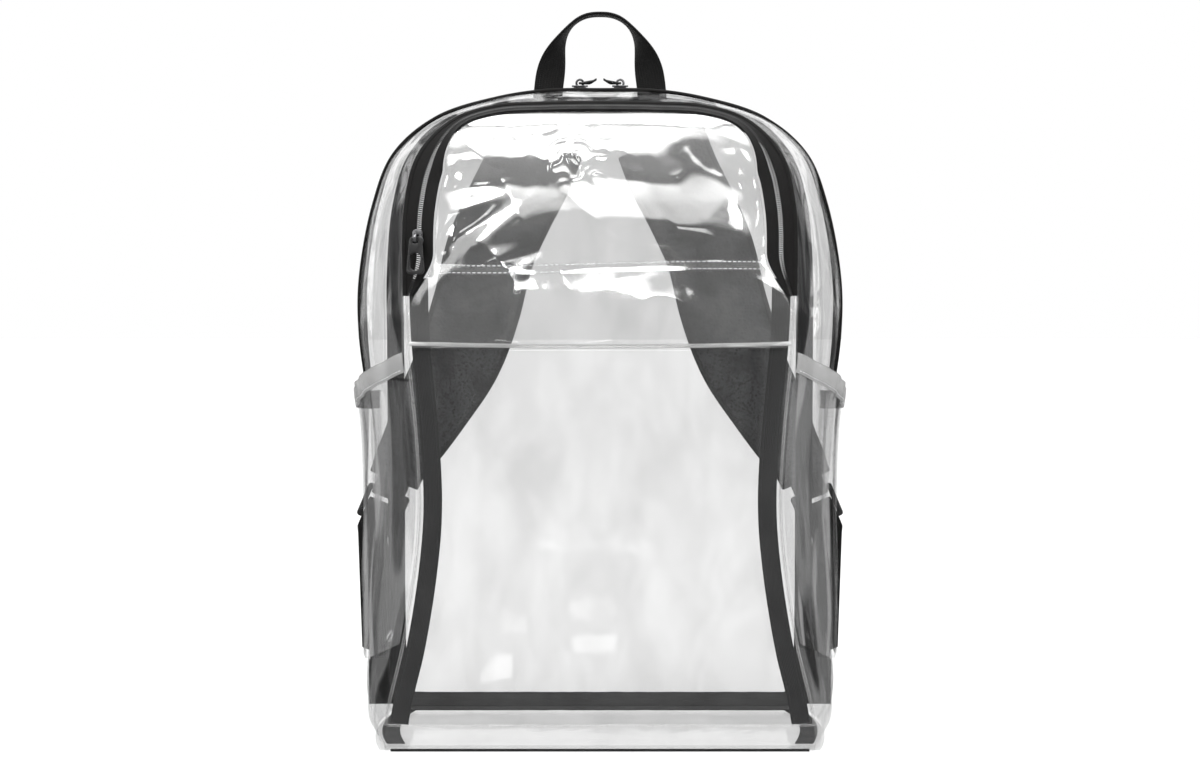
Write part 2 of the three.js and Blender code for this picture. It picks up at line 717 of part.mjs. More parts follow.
function lowerWebbing() {
  const reach = lockHeight + 6;
  const [near, far] = [inLockFrame([[reach, -legOffset]])[0], inLockFrame([[reach, legOffset]])[0]];
  const down = new THREE.CatmullRomCurve3(
    [
      webbingAnchor,
      new THREE.Vector3(mix(webbingAnchor.x, near.x, 0.3), mix(webbingAnchor.y, near.y, 0.42), mix(webbingAnchor.z, near.z, 0.35)),
      near,
    ],
    false,
    "centripetal",
  ).getPoints(8).slice(0, -1);
  const tail = [1, 2, 3, 4, 5].map((i) =>
    far.clone().add(new THREE.Vector3(0.5 * i, 0.6 * i, (-TAIL_LENGTH * i) / 5)),
  );
  const points = [...down, near, ...inLockFrame(halfTurn(middleBar, 1)), far, ...tail];
  return flatStrip(points, strapEnd.across, WEBBING_WIDTH, WEBBING_THICKNESS);
}

// A sewn tab that holds the webbing's lower end in the corner of the back seam.
function strapAnchor() {
  const shape = new THREE.Shape();
  const side = WEBBING_WIDTH / 2 + 1;
  shape.moveTo(-side, 5 - ANCHOR_HEIGHT);
  shape.lineTo(side + ANCHOR_FLARE, 5 - ANCHOR_HEIGHT);
  shape.lineTo(side, 6);
  shape.lineTo(-side, 6);
  shape.closePath();
  const geometry = extruded(shape, ANCHOR_THICKNESS, 2).rotateX(Math.PI / 2);
  return geometry.translate(anchorX, anchorFace - ANCHOR_THICKNESS / 2, ANCHOR_HEIGHT);
}

// Zip sliders and pulls, in a frame with X across the zip, Y the way the pull lies and Z off it

const pivotHeight = COIL_PROUD + GAP + SLIDER_THICKNESS + PULL_THICKNESS / 2 + 0.5;

function slider() {
  const body = new THREE.BoxGeometry(SLIDER_WIDTH, SLIDER_LENGTH, SLIDER_THICKNESS).translate(
    0, 0, COIL_PROUD + GAP + SLIDER_THICKNESS / 2);
  const bail = new THREE.CylinderGeometry(BAIL_RADIUS, BAIL_RADIUS, BAIL_THICKNESS, 16)
    .rotateZ(Math.PI / 2)
    .translate(0, 0, pivotHeight);
  const hole = new THREE.CylinderGeometry(BAIL_HOLE_RADIUS, BAIL_HOLE_RADIUS, BAIL_THICKNESS * 2, 12)
    .rotateZ(Math.PI / 2)
    .translate(0, 0, pivotHeight);
  const floor = new THREE.BoxGeometry(SLIDER_WIDTH * 2, SLIDER_LENGTH * 2, 8).translate(0, 0, COIL_PROUD + GAP - 4);
  return toGeometry(toSolid(body).add(toSolid(bail)).subtract(toSolid(hole)).subtract(toSolid(floor)));
}

// The pull is a plate whose top bar passes through the bail, with a slot for the bail and a grip hole.
function pull(width, length, gripWidth, gripLength) {
  const shape = roundedShape(width, -PULL_BAR / 2, length - PULL_BAR / 2, Math.min(width, length) * 0.22);
  const slotHalf = BAIL_THICKNESS / 2 + 0.5;
  const slotEnd = BAIL_RADIUS + 0.4;
  const slot = roundedShape(slotHalf * 2, PULL_BAR / 2, slotEnd, 0.2);
  const gripEnd = length - PULL_BAR / 2 - (width - gripWidth) / 2;
  shape.holes.push(slot, roundedShape(gripWidth, gripEnd - gripLength, gripEnd, gripWidth * 0.45));
  return extruded(shape, PULL_THICKNESS, 3).translate(0, 0, pivotHeight);
}

function zipFrame(origin, lie, off) {
  const across = new THREE.Vector3().crossVectors(lie, off).normalize();
  const normal = new THREE.Vector3().crossVectors(across, lie).normalize();
  return new THREE.Matrix4().makeBasis(across, lie.clone().normalize(), normal).setPosition(origin);
}

const pocketSliderStation = stationAtHeight(frontPoint, POCKET_SLIDER_HEIGHT);
const pocketSliderFrame = zipFrame(
  pocketTape(0.5, pocketSliderStation),
  pocketTape(0.5, pocketSliderStation - 0.004).sub(pocketTape(0.5, pocketSliderStation + 0.004)).normalize(),
  pocketTapeNormal(pocketSliderStation),
);

function mainSliderFrame(side) {
  const station = stationAtHeight((s) => new THREE.Vector3(0, 0, gusset(MAIN_ZIP_LINE, s).x), -MAIN_SLIDER_X);
  const placed = side < 0 ? station : 1 - station;
  const lie = new THREE.Vector3(-side, 0, 0);
  return zipFrame(gusset(MAIN_ZIP_LINE, placed), lie, gussetNormal(MAIN_ZIP_LINE, placed));
}

// Assembly

const bag = new THREE.Group();
bag.name = "clear_stadium_backpack";

function add(name, geometry, colour) {
  const clear = colour === "clear" || colour === "frosted";
  const material = new THREE.MeshStandardMaterial({
    name: colour,
    color: COLOURS[colour],
    roughness: clear ? 0.1 : 0.7,
    transparent: clear,
    opacity: clear ? 0.35 : 1,
  });
  const mesh = new THREE.Mesh(geometry, material);
  mesh.name = name;
  bag.add(mesh);
}

function mirrored(geometry) {
  const copy = geometry.clone();
  const position = copy.getAttribute("position");
  for (let i = 0; i < position.count; i += 1) position.setX(i, -position.getX(i));
  if (!copy.getIndex()) copy.setIndex([...Array(position.count).keys()]);
  return outward(copy);
}

function addPair(name, geometry, colour) {
  add(`left_${name}`, geometry, colour);
  add(`right_${name}`, mirrored(geometry), colour);
}

add("front_lower_panel", frontLowerPanel, "clear");
add("front_upper_panel", frontUpperPanel, "clear");
add("front_pocket_panel", pocketPanel, "clear");
add("base_panel", basePanel, "clear");
add("back_panel", backPanel, "clear");
add("top_gusset", topGusset, "clear");
add("rear_gusset", rearGusset, "clear");
addPair("side_gusset", sideGusset, "clear");
addPair("side_pocket", sidePocket, "clear");
addPair("side_pocket_hem", sideHem, "frosted");
addPair("front_seam_binding", frontBinding, "tape");
addPair("base_side_binding", baseBinding, "tape");
add("back_seam_binding", backBinding, "tape");
add("back_base_binding", backBaseBinding, "tape");
add("pocket_zip_tape_outer", pocketTapeOuter, "tape");
add("pocket_zip_tape_inner", pocketTapeInner, "tape");
add("pocket_zip_coil", pocketCoil, "moulded");
add("main_zip_tape_front", mainTapeFront, "tape");
add("main_zip_tape_rear", mainTapeRear, "tape");
add("main_zip_coil", mainCoil, "moulded");
add("pocket_zip_slider", slider().applyMatrix4(pocketSliderFrame), "metal");
add("pocket_zip_pull", pull(13, 26, 7.5, 12).applyMatrix4(pocketSliderFrame), "moulded");
[["left", -1], ["right", 1]].forEach(([name, side]) => {
  add(`main_zip_slider_${name}`, slider().applyMatrix4(mainSliderFrame(side)), "metal");
  add(`main_zip_pull_${name}`, pull(11, 13.5, 6.5, 5.5).applyMatrix4(mainSliderFrame(side)), "moulded");
});
add("haul_loop", haulLoop(), "webbing");
addPair("shoulder_strap", shoulderStrap, "padding");
addPair("strap_end_loop", strapLoop(), "webbing");
addPair("ladder_lock", ladderLock(), "moulded");
addPair("lower_webbing", lowerWebbing(), "webbing");
addPair("strap_anchor", strapAnchor(), "webbing");

export default bag;
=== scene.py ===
# The looks of a clear stadium backpack: wrinkled clear film over black tape, coil zips with moulded
# pulls, ribbed webbing and padded straps, in a white studio. Metres, Z up, the front looks along -Y.
import math

import bmesh
import bpy
import numpy as np
from mathutils import Matrix, Vector


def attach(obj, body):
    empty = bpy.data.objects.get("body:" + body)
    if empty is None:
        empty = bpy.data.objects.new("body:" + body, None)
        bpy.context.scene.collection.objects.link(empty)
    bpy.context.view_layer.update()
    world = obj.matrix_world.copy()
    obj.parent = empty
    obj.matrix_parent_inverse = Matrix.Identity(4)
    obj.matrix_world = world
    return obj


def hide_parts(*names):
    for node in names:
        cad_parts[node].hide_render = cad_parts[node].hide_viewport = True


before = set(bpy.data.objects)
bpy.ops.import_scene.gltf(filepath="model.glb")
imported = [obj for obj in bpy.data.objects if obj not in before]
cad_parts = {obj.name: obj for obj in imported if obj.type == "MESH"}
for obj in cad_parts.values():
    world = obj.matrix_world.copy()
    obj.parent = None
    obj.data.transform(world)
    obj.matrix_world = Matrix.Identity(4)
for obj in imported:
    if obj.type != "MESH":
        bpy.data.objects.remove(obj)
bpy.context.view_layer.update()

MM = 0.001

# Named sizes, the same as the model's
WIDTH = 364 * MM
HEIGHT = 473 * MM
DEPTH = 150 * MM
FILM = 1.2 * MM
TAPE = 1.0 * MM
GAP = 0.3 * MM
MIDDLE_SHIFT = 5 * MM
FRONT_BULGE = 4 * MM
BACK_BULGE = 3 * MM
POCKET_SEAM_HEIGHT = 284 * MM
POCKET_BULGE = 13 * MM
POCKET_ZIP_END_HEIGHT = 322 * MM
POCKET_SLIDER_HEIGHT = 362 * MM
POCKET_TAPE_WIDTH = 20 * MM
POCKET_TAPE_TOP_DROP = 5 * MM
POCKET_TAPE_SIDE_LIFT = 6 * MM
POCKET_TAPE_TOP_LIFT = 17 * MM
BOOT_HEIGHT = 21 * MM
BINDING_WIDTH = 13 * MM
SEAM_INSET = 2.6 * MM
MAIN_ZIP_LINE = 0.72
MAIN_ZIP_END_HEIGHT = 262 * MM
MAIN_TAPE_WIDTH = 24 * MM
MAIN_SLIDER_X = 15 * MM
COIL_WIDTH = 4 * MM
COIL_PROUD = 0.7 * MM
SIDE_POCKET_BULGE = 10 * MM
SIDE_POCKET_MOUTH_FRONT = 284 * MM
SIDE_POCKET_MOUTH_BACK = 248 * MM
SIDE_POCKET_FLOOR_FRONT = 79 * MM
SIDE_POCKET_FLOOR_MIDDLE = 54 * MM
HEM_HEIGHT = 14 * MM
HAUL_WIDTH = 22 * MM
HAUL_THICKNESS = 2 * MM
HAUL_LEG_X = 40 * MM
HAUL_CROWN_HEIGHT = 534 * MM
HAUL_FOOT_HEIGHT = 455 * MM
STRAP_WIDTH = 70 * MM
STRAP_END_WIDTH = 40 * MM
STRAP_THICKNESS = 12 * MM
STRAP_ARCH = 46 * MM
WEBBING_WIDTH = 25 * MM
WEBBING_THICKNESS = 1.8 * MM
TAIL_LENGTH = 95 * MM
LOCK_THICKNESS = 4 * MM
LOCK_BAR = 4 * MM
LOCK_CHEEK = 4 * MM
LOCK_UPPER_SLOT = 9 * MM
LOCK_LOWER_SLOT = 6 * MM
ANCHOR_HEIGHT = 34 * MM
ANCHOR_THICKNESS = 1.5 * MM

# What only the looks need
FILM_LOOK = 0.6 * MM  # the real film's thickness
TAPE_LOOK = 0.7 * MM  # the real tape's
STITCH_LENGTH = 2.6 * MM
STITCH_PITCH = 3.6 * MM
STITCH_RADIUS = 0.28 * MM
TOOTH_PITCH = 1.45 * MM
TOOTH_LENGTH = 2.3 * MM  # across the zip
TOOTH_HEIGHT = 0.75 * MM
CURVE_SAMPLES = 2401

HALF = WIDTH / 2
FRONT_Y = -DEPTH / 2
BACK_Y = DEPTH / 2
OUTLINE_FOOT = HEIGHT * 0.0045
JUST_ABOVE_FOOT = HEIGHT * 0.0046

# The bag's outline at three depths, from the base corner up to the top centre. X columns are shares
# of half the width, Z columns of the height, and frontY of half the depth.
# frontX, frontY, frontZ, middleX, middleZ, backX, backZ
OUTLINE = np.array([
    [0.835, -0.840, 0.0045, 0.905, 0.0045, 0.857, 0.0045],
    [0.831, -0.985, 0.0300, 0.940, 0.0300, 0.885, 0.0300],
    [0.813, -1.000, 0.0760, 0.955, 0.0760, 0.901, 0.0760],
    [0.758, -1.000, 0.1650, 0.930, 0.1650, 0.907, 0.1650],
    [0.709, -1.000, 0.2830, 0.900, 0.2830, 0.907, 0.2830],
    [0.692, -1.000, 0.3700, 0.895, 0.3700, 0.907, 0.3700],
    [0.703, -1.000, 0.4740, 0.906, 0.4740, 0.907, 0.4740],
    [0.736, -1.000, 0.6170, 0.960, 0.6170, 0.907, 0.6170],
    [0.742, -1.000, 0.6960, 0.960, 0.7000, 0.907, 0.7080],
    [0.736, -0.960, 0.8140, 0.902, 0.8200, 0.880, 0.8250],
    [0.687, -0.880, 0.8880, 0.822, 0.8960, 0.815, 0.9030],
    [0.560, -0.750, 0.9390, 0.655, 0.9510, 0.675, 0.9600],
    [0.400, -0.650, 0.9600, 0.400, 0.9830, 0.440, 0.9900],
    [0.205, -0.610, 0.9650, 0.215, 0.9935, 0.240, 0.9995],
    [0.000, -0.610, 0.9660, 0.000, 0.9950, 0.000, 1.0000],
])

# The left strap's centre line: x, z, and how much of its arch it stands off the back panel.
STRAP_LINE = np.array([
    [-0.255, 0.925, 0.00],
    [-0.300, 0.880, 0.06],
    [-0.390, 0.815, 0.50],
    [-0.475, 0.745, 0.90],
    [-0.535, 0.655, 1.00],
    [-0.610, 0.570, 0.90],
    [-0.705, 0.500, 0.70],
    [-0.790, 0.440, 0.50],
    [-0.848, 0.402, 0.38],
    [-0.880, 0.372, 0.32],
])


# Number helpers

def smooth(value, low, high):
    share = np.clip((value - low) / (high - low), 0, 1)
    return share * share * (3 - 2 * share)


def mix(a, b, share):
    return a + (b - a) * share


def unit(vectors):
    return vectors / np.maximum(np.linalg.norm(vectors, axis=-1, keepdims=True), 1e-12)


def xyz(x, y, z):
    return np.stack([x, y, z], axis=-1)


def run_of(points):
    """How far along the points each of them lies."""
    return np.concatenate([[0], np.cumsum(np.linalg.norm(np.diff(points, axis=0), axis=-1))])


def between(at, run, values):
    return xyz(*(np.interp(at, run, values[:, k]) for k in range(3)))


def change(place_at, at, step=2e-3):
    """How a place moves from a step before to a step after."""
    return place_at(np.minimum(1, at + step)) - place_at(np.maximum(0, at - step))


def spline(points, share):
    """Points on the centripetal Catmull-Rom curve through the given points, at shares 0 to 1."""
    points = np.asarray(points, float)
    padded = np.vstack([2 * points[0] - points[1], points, 2 * points[-1] - points[-2]])
    place = np.clip(np.asarray(share, float), 0, 1) * (len(points) - 1)
    row = np.minimum(place.astype(int), len(points) - 2)
    t = (place - row)[..., None]
    p0, p1, p2, p3 = (padded[row + k] for k in range(4))
    d0, d1, d2 = (
        np.maximum(np.sum((b - a) ** 2, axis=-1, keepdims=True) ** 0.25, 1e-4)
        for a, b in ((p0, p1), (p1, p2), (p2, p3))
    )
    m1 = ((p1 - p0) / d0 - (p2 - p0) / (d0 + d1) + (p2 - p1) / d1) * d1
    m2 = ((p2 - p1) / d1 - (p3 - p1) / (d1 + d2) + (p3 - p2) / d2) * d1
    return p1 + t * (m1 + t * (3 * (p2 - p1) - 2 * m1 - m2 + t * (2 * (p1 - p2) + m1 + m2)))


def lattice(ix, iy, seed):
    """A random direction at each lattice point, the same on every run."""
    value = np.sin(ix * 127.1 + iy * 311.7 + seed * 74.7) * 43758.5453
    angle = (value - np.floor(value)) * 2 * np.pi
    return np.cos(angle), np.sin(angle)


def noise(x, y, seed=0):
    """Smooth noise over a plane, about -0.7 to 0.7, with one bump to each unit."""
    x0, y0 = np.floor(x), np.floor(y)
    fx, fy = x - x0, y - y0
    wx, wy = (f * f * f * (f * (f * 6 - 15) + 10) for f in (fx, fy))

    def corner(dx, dy):
        gx, gy = lattice(x0 + dx, y0 + dy, seed)
        return gx * (fx - dx) + gy * (fy - dy)

    low = mix(corner(0, 0), corner(1, 0), wx)
    high = mix(corner(0, 1), corner(1, 1), wx)
    return mix(low, high, wy)


def creases(x, y, seed, sharp=3.0):
    """Narrow ridges that meet and part, as in film that was folded, 0 to 1."""
    ridge = 1 - np.abs(noise(x, y, seed)) * 2.2
    return np.clip(ridge, 0, 1) ** sharp


# The bag's surfaces

def outline_curve(column_x, y_of, column_z):
    x = OUTLINE[:, column_x] * HALF
    right = np.column_stack([x, y_of, OUTLINE[:, column_z] * HEIGHT])
    left = right * [-1, 1, 1]
    shares = np.linspace(0, 1, CURVE_SAMPLES)
    return spline(np.vstack([left, right[-2::-1]]), shares)


FRONT = outline_curve(0, OUTLINE[:, 1] * DEPTH / 2, 2)
MIDDLE = outline_curve(3, (OUTLINE[:, 1] + 1) * DEPTH / 4 + MIDDLE_SHIFT, 4)
BACK = outline_curve(5, np.full(len(OUTLINE), BACK_Y), 6)


def on_curve(curve, station):
    place = np.clip(station, 0, 1) * (len(curve) - 1)
    return between(place, np.arange(len(curve)), curve)


def station_at(curve, height):
    half = len(curve) // 2
    return np.interp(height, curve[: half + 1, 2], np.linspace(0, 0.5, half + 1))


def at_height(curve, height):
    return on_curve(curve, station_at(curve, height))


def gusset(share, station):
    """The gusset's outer face: share 0 is the front seam and 1 the back seam."""
    share, station = np.broadcast_arrays(share, station)
    s = share[..., None]
    return (
        on_curve(FRONT, station) * (1 - s) * (1 - 2 * s)
        + on_curve(MIDDLE, station) * 4 * s * (1 - s)
        + on_curve(BACK, station) * s * (2 * s - 1)
    )


def gusset_normal(share, station):
    along = change(lambda at: gusset(share, at), station)
    across = change(lambda at: gusset(at, station), share)
    return unit(np.cross(along, across))


def gusset_length(station):
    middle = gusset(0.5, station)
    ends = [np.linalg.norm(middle - gusset(s, station), axis=-1) for s in (0.0, 1.0)]
    return ends[0] + ends[1]


def raised(share, station, lift):
    return gusset(share, station) + gusset_normal(share, station) * np.asarray(lift)[..., None]


def inward(curve, station):
    along = change(lambda at: on_curve(curve, at), station)
    return unit(xyz(along[..., 2], np.zeros_like(along[..., 0]), -along[..., 0]))


def back_face(x, z):
    reach = 1 - (x / at_height(BACK, z)[..., 0]) ** 2
    rise = (z - OUTLINE_FOOT) / (HEIGHT - FILM - OUTLINE_FOOT)
    return BACK_Y + BACK_BULGE * reach * np.sin(np.pi * rise)


# Mesh helpers

def add_object(name, data):
    obj = bpy.data.objects.new(name, data)
    bpy.context.scene.collection.objects.link(obj)
    return obj


def make_object(name, vertices, faces, uvs=None):
    mesh = bpy.data.meshes.new(name)
    mesh.from_pydata([tuple(v) for v in vertices], [], faces)
    if uvs is not None:
        layer = mesh.uv_layers.new(name="real_size")
        loops = np.array([loop.vertex_index for loop in mesh.loops])
        layer.data.foreach_set("uv", np.asarray(uvs, float)[loops].ravel())
    mesh.validate()
    return add_object(name, mesh)


def finish_shading(obj, angle=50):
    bm = bmesh.new()
    bm.from_mesh(obj.data)
    bmesh.ops.recalc_face_normals(bm, faces=bm.faces)
    bm.to_mesh(obj.data)
    bm.free()
    obj.data.shade_smooth()
    obj.data.set_sharp_from_angle(angle=math.radians(angle))
    return obj


def grid_normals(points):
    along = np.gradient(points, axis=0)
    across = np.gradient(points, axis=1)
    return unit(np.cross(along, across))


def real_uvs(points):
    """U is the real distance along the first axis of the grid and V the one across it."""
    steps_u = np.linalg.norm(np.diff(points, axis=0), axis=-1)
    steps_v = np.linalg.norm(np.diff(points, axis=1), axis=-1)
    u = np.vstack([np.zeros((1, points.shape[1])), np.cumsum(steps_u, axis=0)])
    v = np.hstack([np.zeros((points.shape[0], 1)), np.cumsum(steps_v, axis=1)])
    return np.stack([u, v], axis=-1)


def sheet(name, points, thickness, out):
    """A closed sheet whose outer face is the grid of points. out is a direction, or a grid of them,
    that tells which side is the outer one."""
    rows, columns = points.shape[:2]
    normals = grid_normals(points)
    sign = np.sign(np.sum(normals * out, axis=-1).mean())
    inner = points - normals * sign * thickness
    vertices = np.concatenate([points.reshape(-1, 3), inner.reshape(-1, 3)])
    uvs = np.tile(real_uvs(points).reshape(-1, 2), (2, 1))
    index = np.arange(rows * columns).reshape(rows, columns)
    under = index + rows * columns
    faces = []

    def quads(a, b, c, d):
        faces.extend(np.stack([a, b, c, d], axis=-1).reshape(-1, 4).tolist())

    quads(index[:-1, :-1], index[1:, :-1], index[1:, 1:], index[:-1, 1:])
    quads(under[:-1, :-1], under[:-1, 1:], under[1:, 1:], under[1:, :-1])
    for edge, below in ((index[:, 0], under[:, 0]), (index[:, -1][::-1], under[:, -1][::-1])):
        quads(edge[:-1], below[:-1], below[1:], edge[1:])
    for edge, below in ((index[0][::-1], under[0][::-1]), (index[-1], under[-1])):
        quads(edge[:-1], below[:-1], below[1:], edge[1:])
    return finish_shading(make_object(name, vertices, faces, uvs))


def loft(name, origins, across, up, section):
    """A closed bar. section is an array of one ring of (across, up) distances for each origin."""
    count = section.shape[1]
    rings = origins[:, None] + section[..., :1] * across[:, None] + section[..., 1:] * up[:, None]
    rows = len(origins)
    index = np.arange(rows * count).reshape(rows, count)
    following = np.roll(index, -1, axis=1)
    faces = np.stack([index[:-1], index[1:], following[1:], following[:-1]], axis=-1)
    faces = faces.reshape(-1, 4).tolist() + [index[0].tolist(), index[-1][::-1].tolist()]
    uvs = np.stack([np.repeat(run_of(origins)[:, None], count, axis=1), section[..., 0]], axis=-1)
    return finish_shading(make_object(name, rings.reshape(-1, 3), faces, uvs.reshape(-1, 2)), 60)


def tangents(points):
    return unit(np.gradient(points, axis=0))


def stadium(width, thickness, turns=4):
    """A ring of (across, up) distances with round edges."""
    radius = thickness / 2
    angles = np.linspace(-np.pi / 2, np.pi / 2, turns + 1)
    right = np.stack([width / 2 - radius + radius * np.cos(angles), radius * np.sin(angles)], axis=-1)
    return np.vstack([right, -right])


def ribbon(name, points, across, width, thickness):
    """Flat webbing along points, with its width along across and round edges."""
    points, across = np.asarray(points, float), np.asarray(across, float)
    across = np.broadcast_to(across, points.shape)
    up = unit(np.cross(tangents(points), across))
    ring = stadium(width, thickness)
    return loft(name, points, across, up, np.broadcast_to(ring, (len(points), *ring.shape)))


def resample(points, step):
    points = np.asarray(points, float)
    run = run_of(points)
    return between(np.linspace(0, run[-1], max(2, int(round(run[-1] / step)) + 1)), run, points)


CAPSULE = np.array([
    [-0.5, 0, 0], [-0.35, 1, 0], [-0.35, 0, 1], [-0.35, -1, 0], [-0.35, 0, -0.3],
    [0.35, 1, 0], [0.35, 0, 1], [0.35, -1, 0], [0.35, 0, -0.3], [0.5, 0, 0],
])
CAPSULE_FACES = [
    (0, 2, 1), (0, 3, 2), (0, 4, 3), (0, 1, 4),
    (1, 2, 6, 5), (2, 3, 7, 6), (3, 4, 8, 7), (4, 1, 5, 8),
    (9, 5, 6), (9, 6, 7), (9, 7, 8), (9, 8, 5),
]


def beads(path, normals, length, width, height, pitch):
    """Small rounded pieces end to end along a path: stitches along it, or teeth across it."""
    run = run_of(path)
    at = np.arange(pitch / 2, run[-1], pitch)
    place, along, off = (between(at, run, values) for values in (path, tangents(path), normals))
    along, off = unit(along), unit(off)
    axes = np.stack([along, unit(np.cross(off, along)), off], axis=1)
    vertices = place[:, None] + CAPSULE * [length, width / 2, height] @ axes
    count = len(CAPSULE)
    faces = [tuple(i + k * count for i in face) for k in range(len(at)) for face in CAPSULE_FACES]
    return finish_shading(make_object("beads", vertices.reshape(-1, 3), faces), 80)


def stitches(path, normals):
    return beads(path, normals, STITCH_LENGTH, STITCH_RADIUS * 2, STITCH_RADIUS, STITCH_PITCH)


def coil_side(path, normals):
    return beads(path, normals, TOOTH_PITCH * 0.62, TOOTH_LENGTH, TOOTH_HEIGHT, TOOTH_PITCH)


def join(name, objects):
    """One object from several made by the helpers above."""
    vertices, faces, uvs = [], [], []
    for obj in objects:
        offset = len(vertices)
        mesh = obj.data
        vertices += [tuple(v.co) for v in mesh.vertices]
        faces += [tuple(i + offset for i in p.vertices) for p in mesh.polygons]
        per_vertex = np.zeros((len(mesh.vertices), 2))
        if mesh.uv_layers:
            values = np.zeros(len(mesh.loops) * 2)
            mesh.uv_layers[0].data.foreach_get("uv", values)
            per_vertex[[loop.vertex_index for loop in mesh.loops]] = values.reshape(-1, 2)
        uvs += per_vertex.tolist()
        bpy.data.objects.remove(obj)
        bpy.data.meshes.remove(mesh)
    return finish_shading(make_object(name, vertices, faces, uvs))


def mirror(obj, name):
    copy = add_object(name, obj.data.copy())
    copy.data.transform(Matrix.Scale(-1, 4, (1, 0, 0)))
    copy.data.flip_normals()
    return copy


def dress(obj, material, body="bag", bare=False):
    """Puts a piece on its body. One named NODE_look takes the place of that node, unless it is bare."""
    obj.data.materials.clear()
    obj.data.materials.append(material)
    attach(obj, body)
    if obj.name.endswith("_look") and not bare:
        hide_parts(obj.name.removesuffix("_look"))
    return obj


def dress_pair(left, material):
    """Dresses a left piece and its mirror image."""
    stem = left.name.removeprefix("left_").removesuffix("_look")
    right = mirror(left, f"right_{stem}_look")
    bare = not left.name.endswith("_look")
    return [dress(obj, material, bare=bare) for obj in (left, right)]


# Materials

class Nodes:
    """Short ways to add to the node tree of a material or a world."""

    def __init__(self, owner):
        owner.use_nodes = True
        self.tree = owner.node_tree

    def feed(self, node, inputs):
        for key, value in inputs.items():
            if isinstance(value, bpy.types.NodeSocket):
                self.tree.links.new(value, node.inputs[key])
            else:
                node.inputs[key].default_value = value
        return node

    def add(self, kind, inputs=(), **settings):
        node = self.tree.nodes.new("ShaderNode" + kind)
        for key, value in settings.items():
            setattr(node, key, value)
        return self.feed(node, dict(inputs))

    def place(self):
        return self.add("TexCoord").outputs["Object"]

    def math(self, operation, a, b=0.0):
        return self.add("Math", {0: a, 1: b}, operation=operation).outputs[0]

    def times(self, a, b):
        return self.math("MULTIPLY", a, b)

    def plus(self, a, b):
        return self.math("ADD", a, b)

    def ramp(self, value, low, high, start, end):
        inputs = {"Value": value, "From Min": low, "From Max": high, "To Min": start, "To Max": end}
        return self.add("MapRange", inputs, interpolation_type="SMOOTHSTEP").outputs["Result"]

    def noise(self, place, scale, detail, distortion=0.0):
        inputs = {"Vector": place, "Scale": scale, "Detail": detail, "Distortion": distortion}
        return self.add("TexNoise", inputs).outputs["Fac"]

    def bump(self, height, strength, distance):
        inputs = {"Height": height, "Strength": strength, "Distance": distance}
        return self.add("Bump", inputs).outputs["Normal"]

    def grey(self, shade):
        return self.add("CombineColor", {"Red": shade, "Green": shade, "Blue": shade}).outputs["Color"]

    def tint(self, share, colour, low, high):
        """From low times the colour to high times the colour."""
        ends = {key: (*(c * k for c in colour), 1) for key, k in (("A", low), ("B", high))}
        return self.add("Mix", {"Factor": share, **ends}, data_type="RGBA").outputs["Result"]

    def by_ray(self, to_camera, to_others):
        seen = self.add("LightPath").outputs["Is Camera Ray"]
        return self.add("MixShader", {0: seen, 1: to_others.outputs[0], 2: to_camera.outputs[0]}).outputs[0]


def node_material(name):
    material = bpy.data.materials.new(name)
    nodes = Nodes(material)
    return material, nodes, nodes.tree.nodes["Principled BSDF"]


def film_material(
    name, haze, grey, ripple, closing, stretch=(1, 1, 1), metallic=0.9, streaks=0.0, cloud=None
):
    """Clear film: a mirror-like skin that is nearly all see-through face on and closes up at a
    glance, with a faint haze and shallow ripples. Streaks are painted reflection and painted shade:
    narrow bands where the film closes up and turns dark or bright, standing in for folds too sharp
    for the mesh, and they run the long way of the stretch. A cloud is a low height, a high height
    and the haze it adds."""
    material, nodes, shader = node_material(name)
    place = nodes.place()
    stretched = nodes.add("Mapping", {"Vector": place, "Scale": stretch}).outputs["Vector"]
    broad = nodes.noise(stretched, 26, 2, 0.4)
    skin = nodes.bump(broad, ripple, 0.004)
    glance = nodes.add("LayerWeight", {"Blend": 0.28, "Normal": skin}).outputs["Fresnel"]
    hazy = nodes.ramp(broad, 0.35, 0.7, haze * 0.75, haze * 1.3)
    alpha = nodes.plus(nodes.times(glance, closing), hazy)
    colour = (grey, grey, grey * 0.995, 1)
    if cloud:
        low, high, extra = cloud
        height = nodes.add("SeparateXYZ", {"Vector": place}).outputs["Z"]
        scuffed = nodes.ramp(nodes.noise(place, 17, 1, 0.8), 0.34, 0.62, 0.25, 1.0)
        alpha = nodes.plus(alpha, nodes.times(nodes.ramp(height, low, high, 0.0, extra), scuffed))
    # Painted reflection and shade: streaks close the film up in narrow bands and swing its colour between
    # near black and bright, like the light and dark lines of folds.
    if streaks:
        alpha = nodes.plus(alpha, nodes.ramp(nodes.noise(stretched, 44, 1, 0.3), 0.56, 0.62, 0.0, streaks))
        colour = nodes.grey(nodes.ramp(nodes.noise(stretched, 31, 0), 0.45, 0.5, 0.06, grey))
    nodes.feed(shader, {
        "Base Color": colour,
        "Metallic": metallic,
        "Roughness": nodes.ramp(nodes.noise(place, 60, 3), 0.3, 0.75, 0.05, 0.13),
        "Alpha": nodes.math("MINIMUM", alpha, 1.0),
        "Normal": skin,
    })
    return material


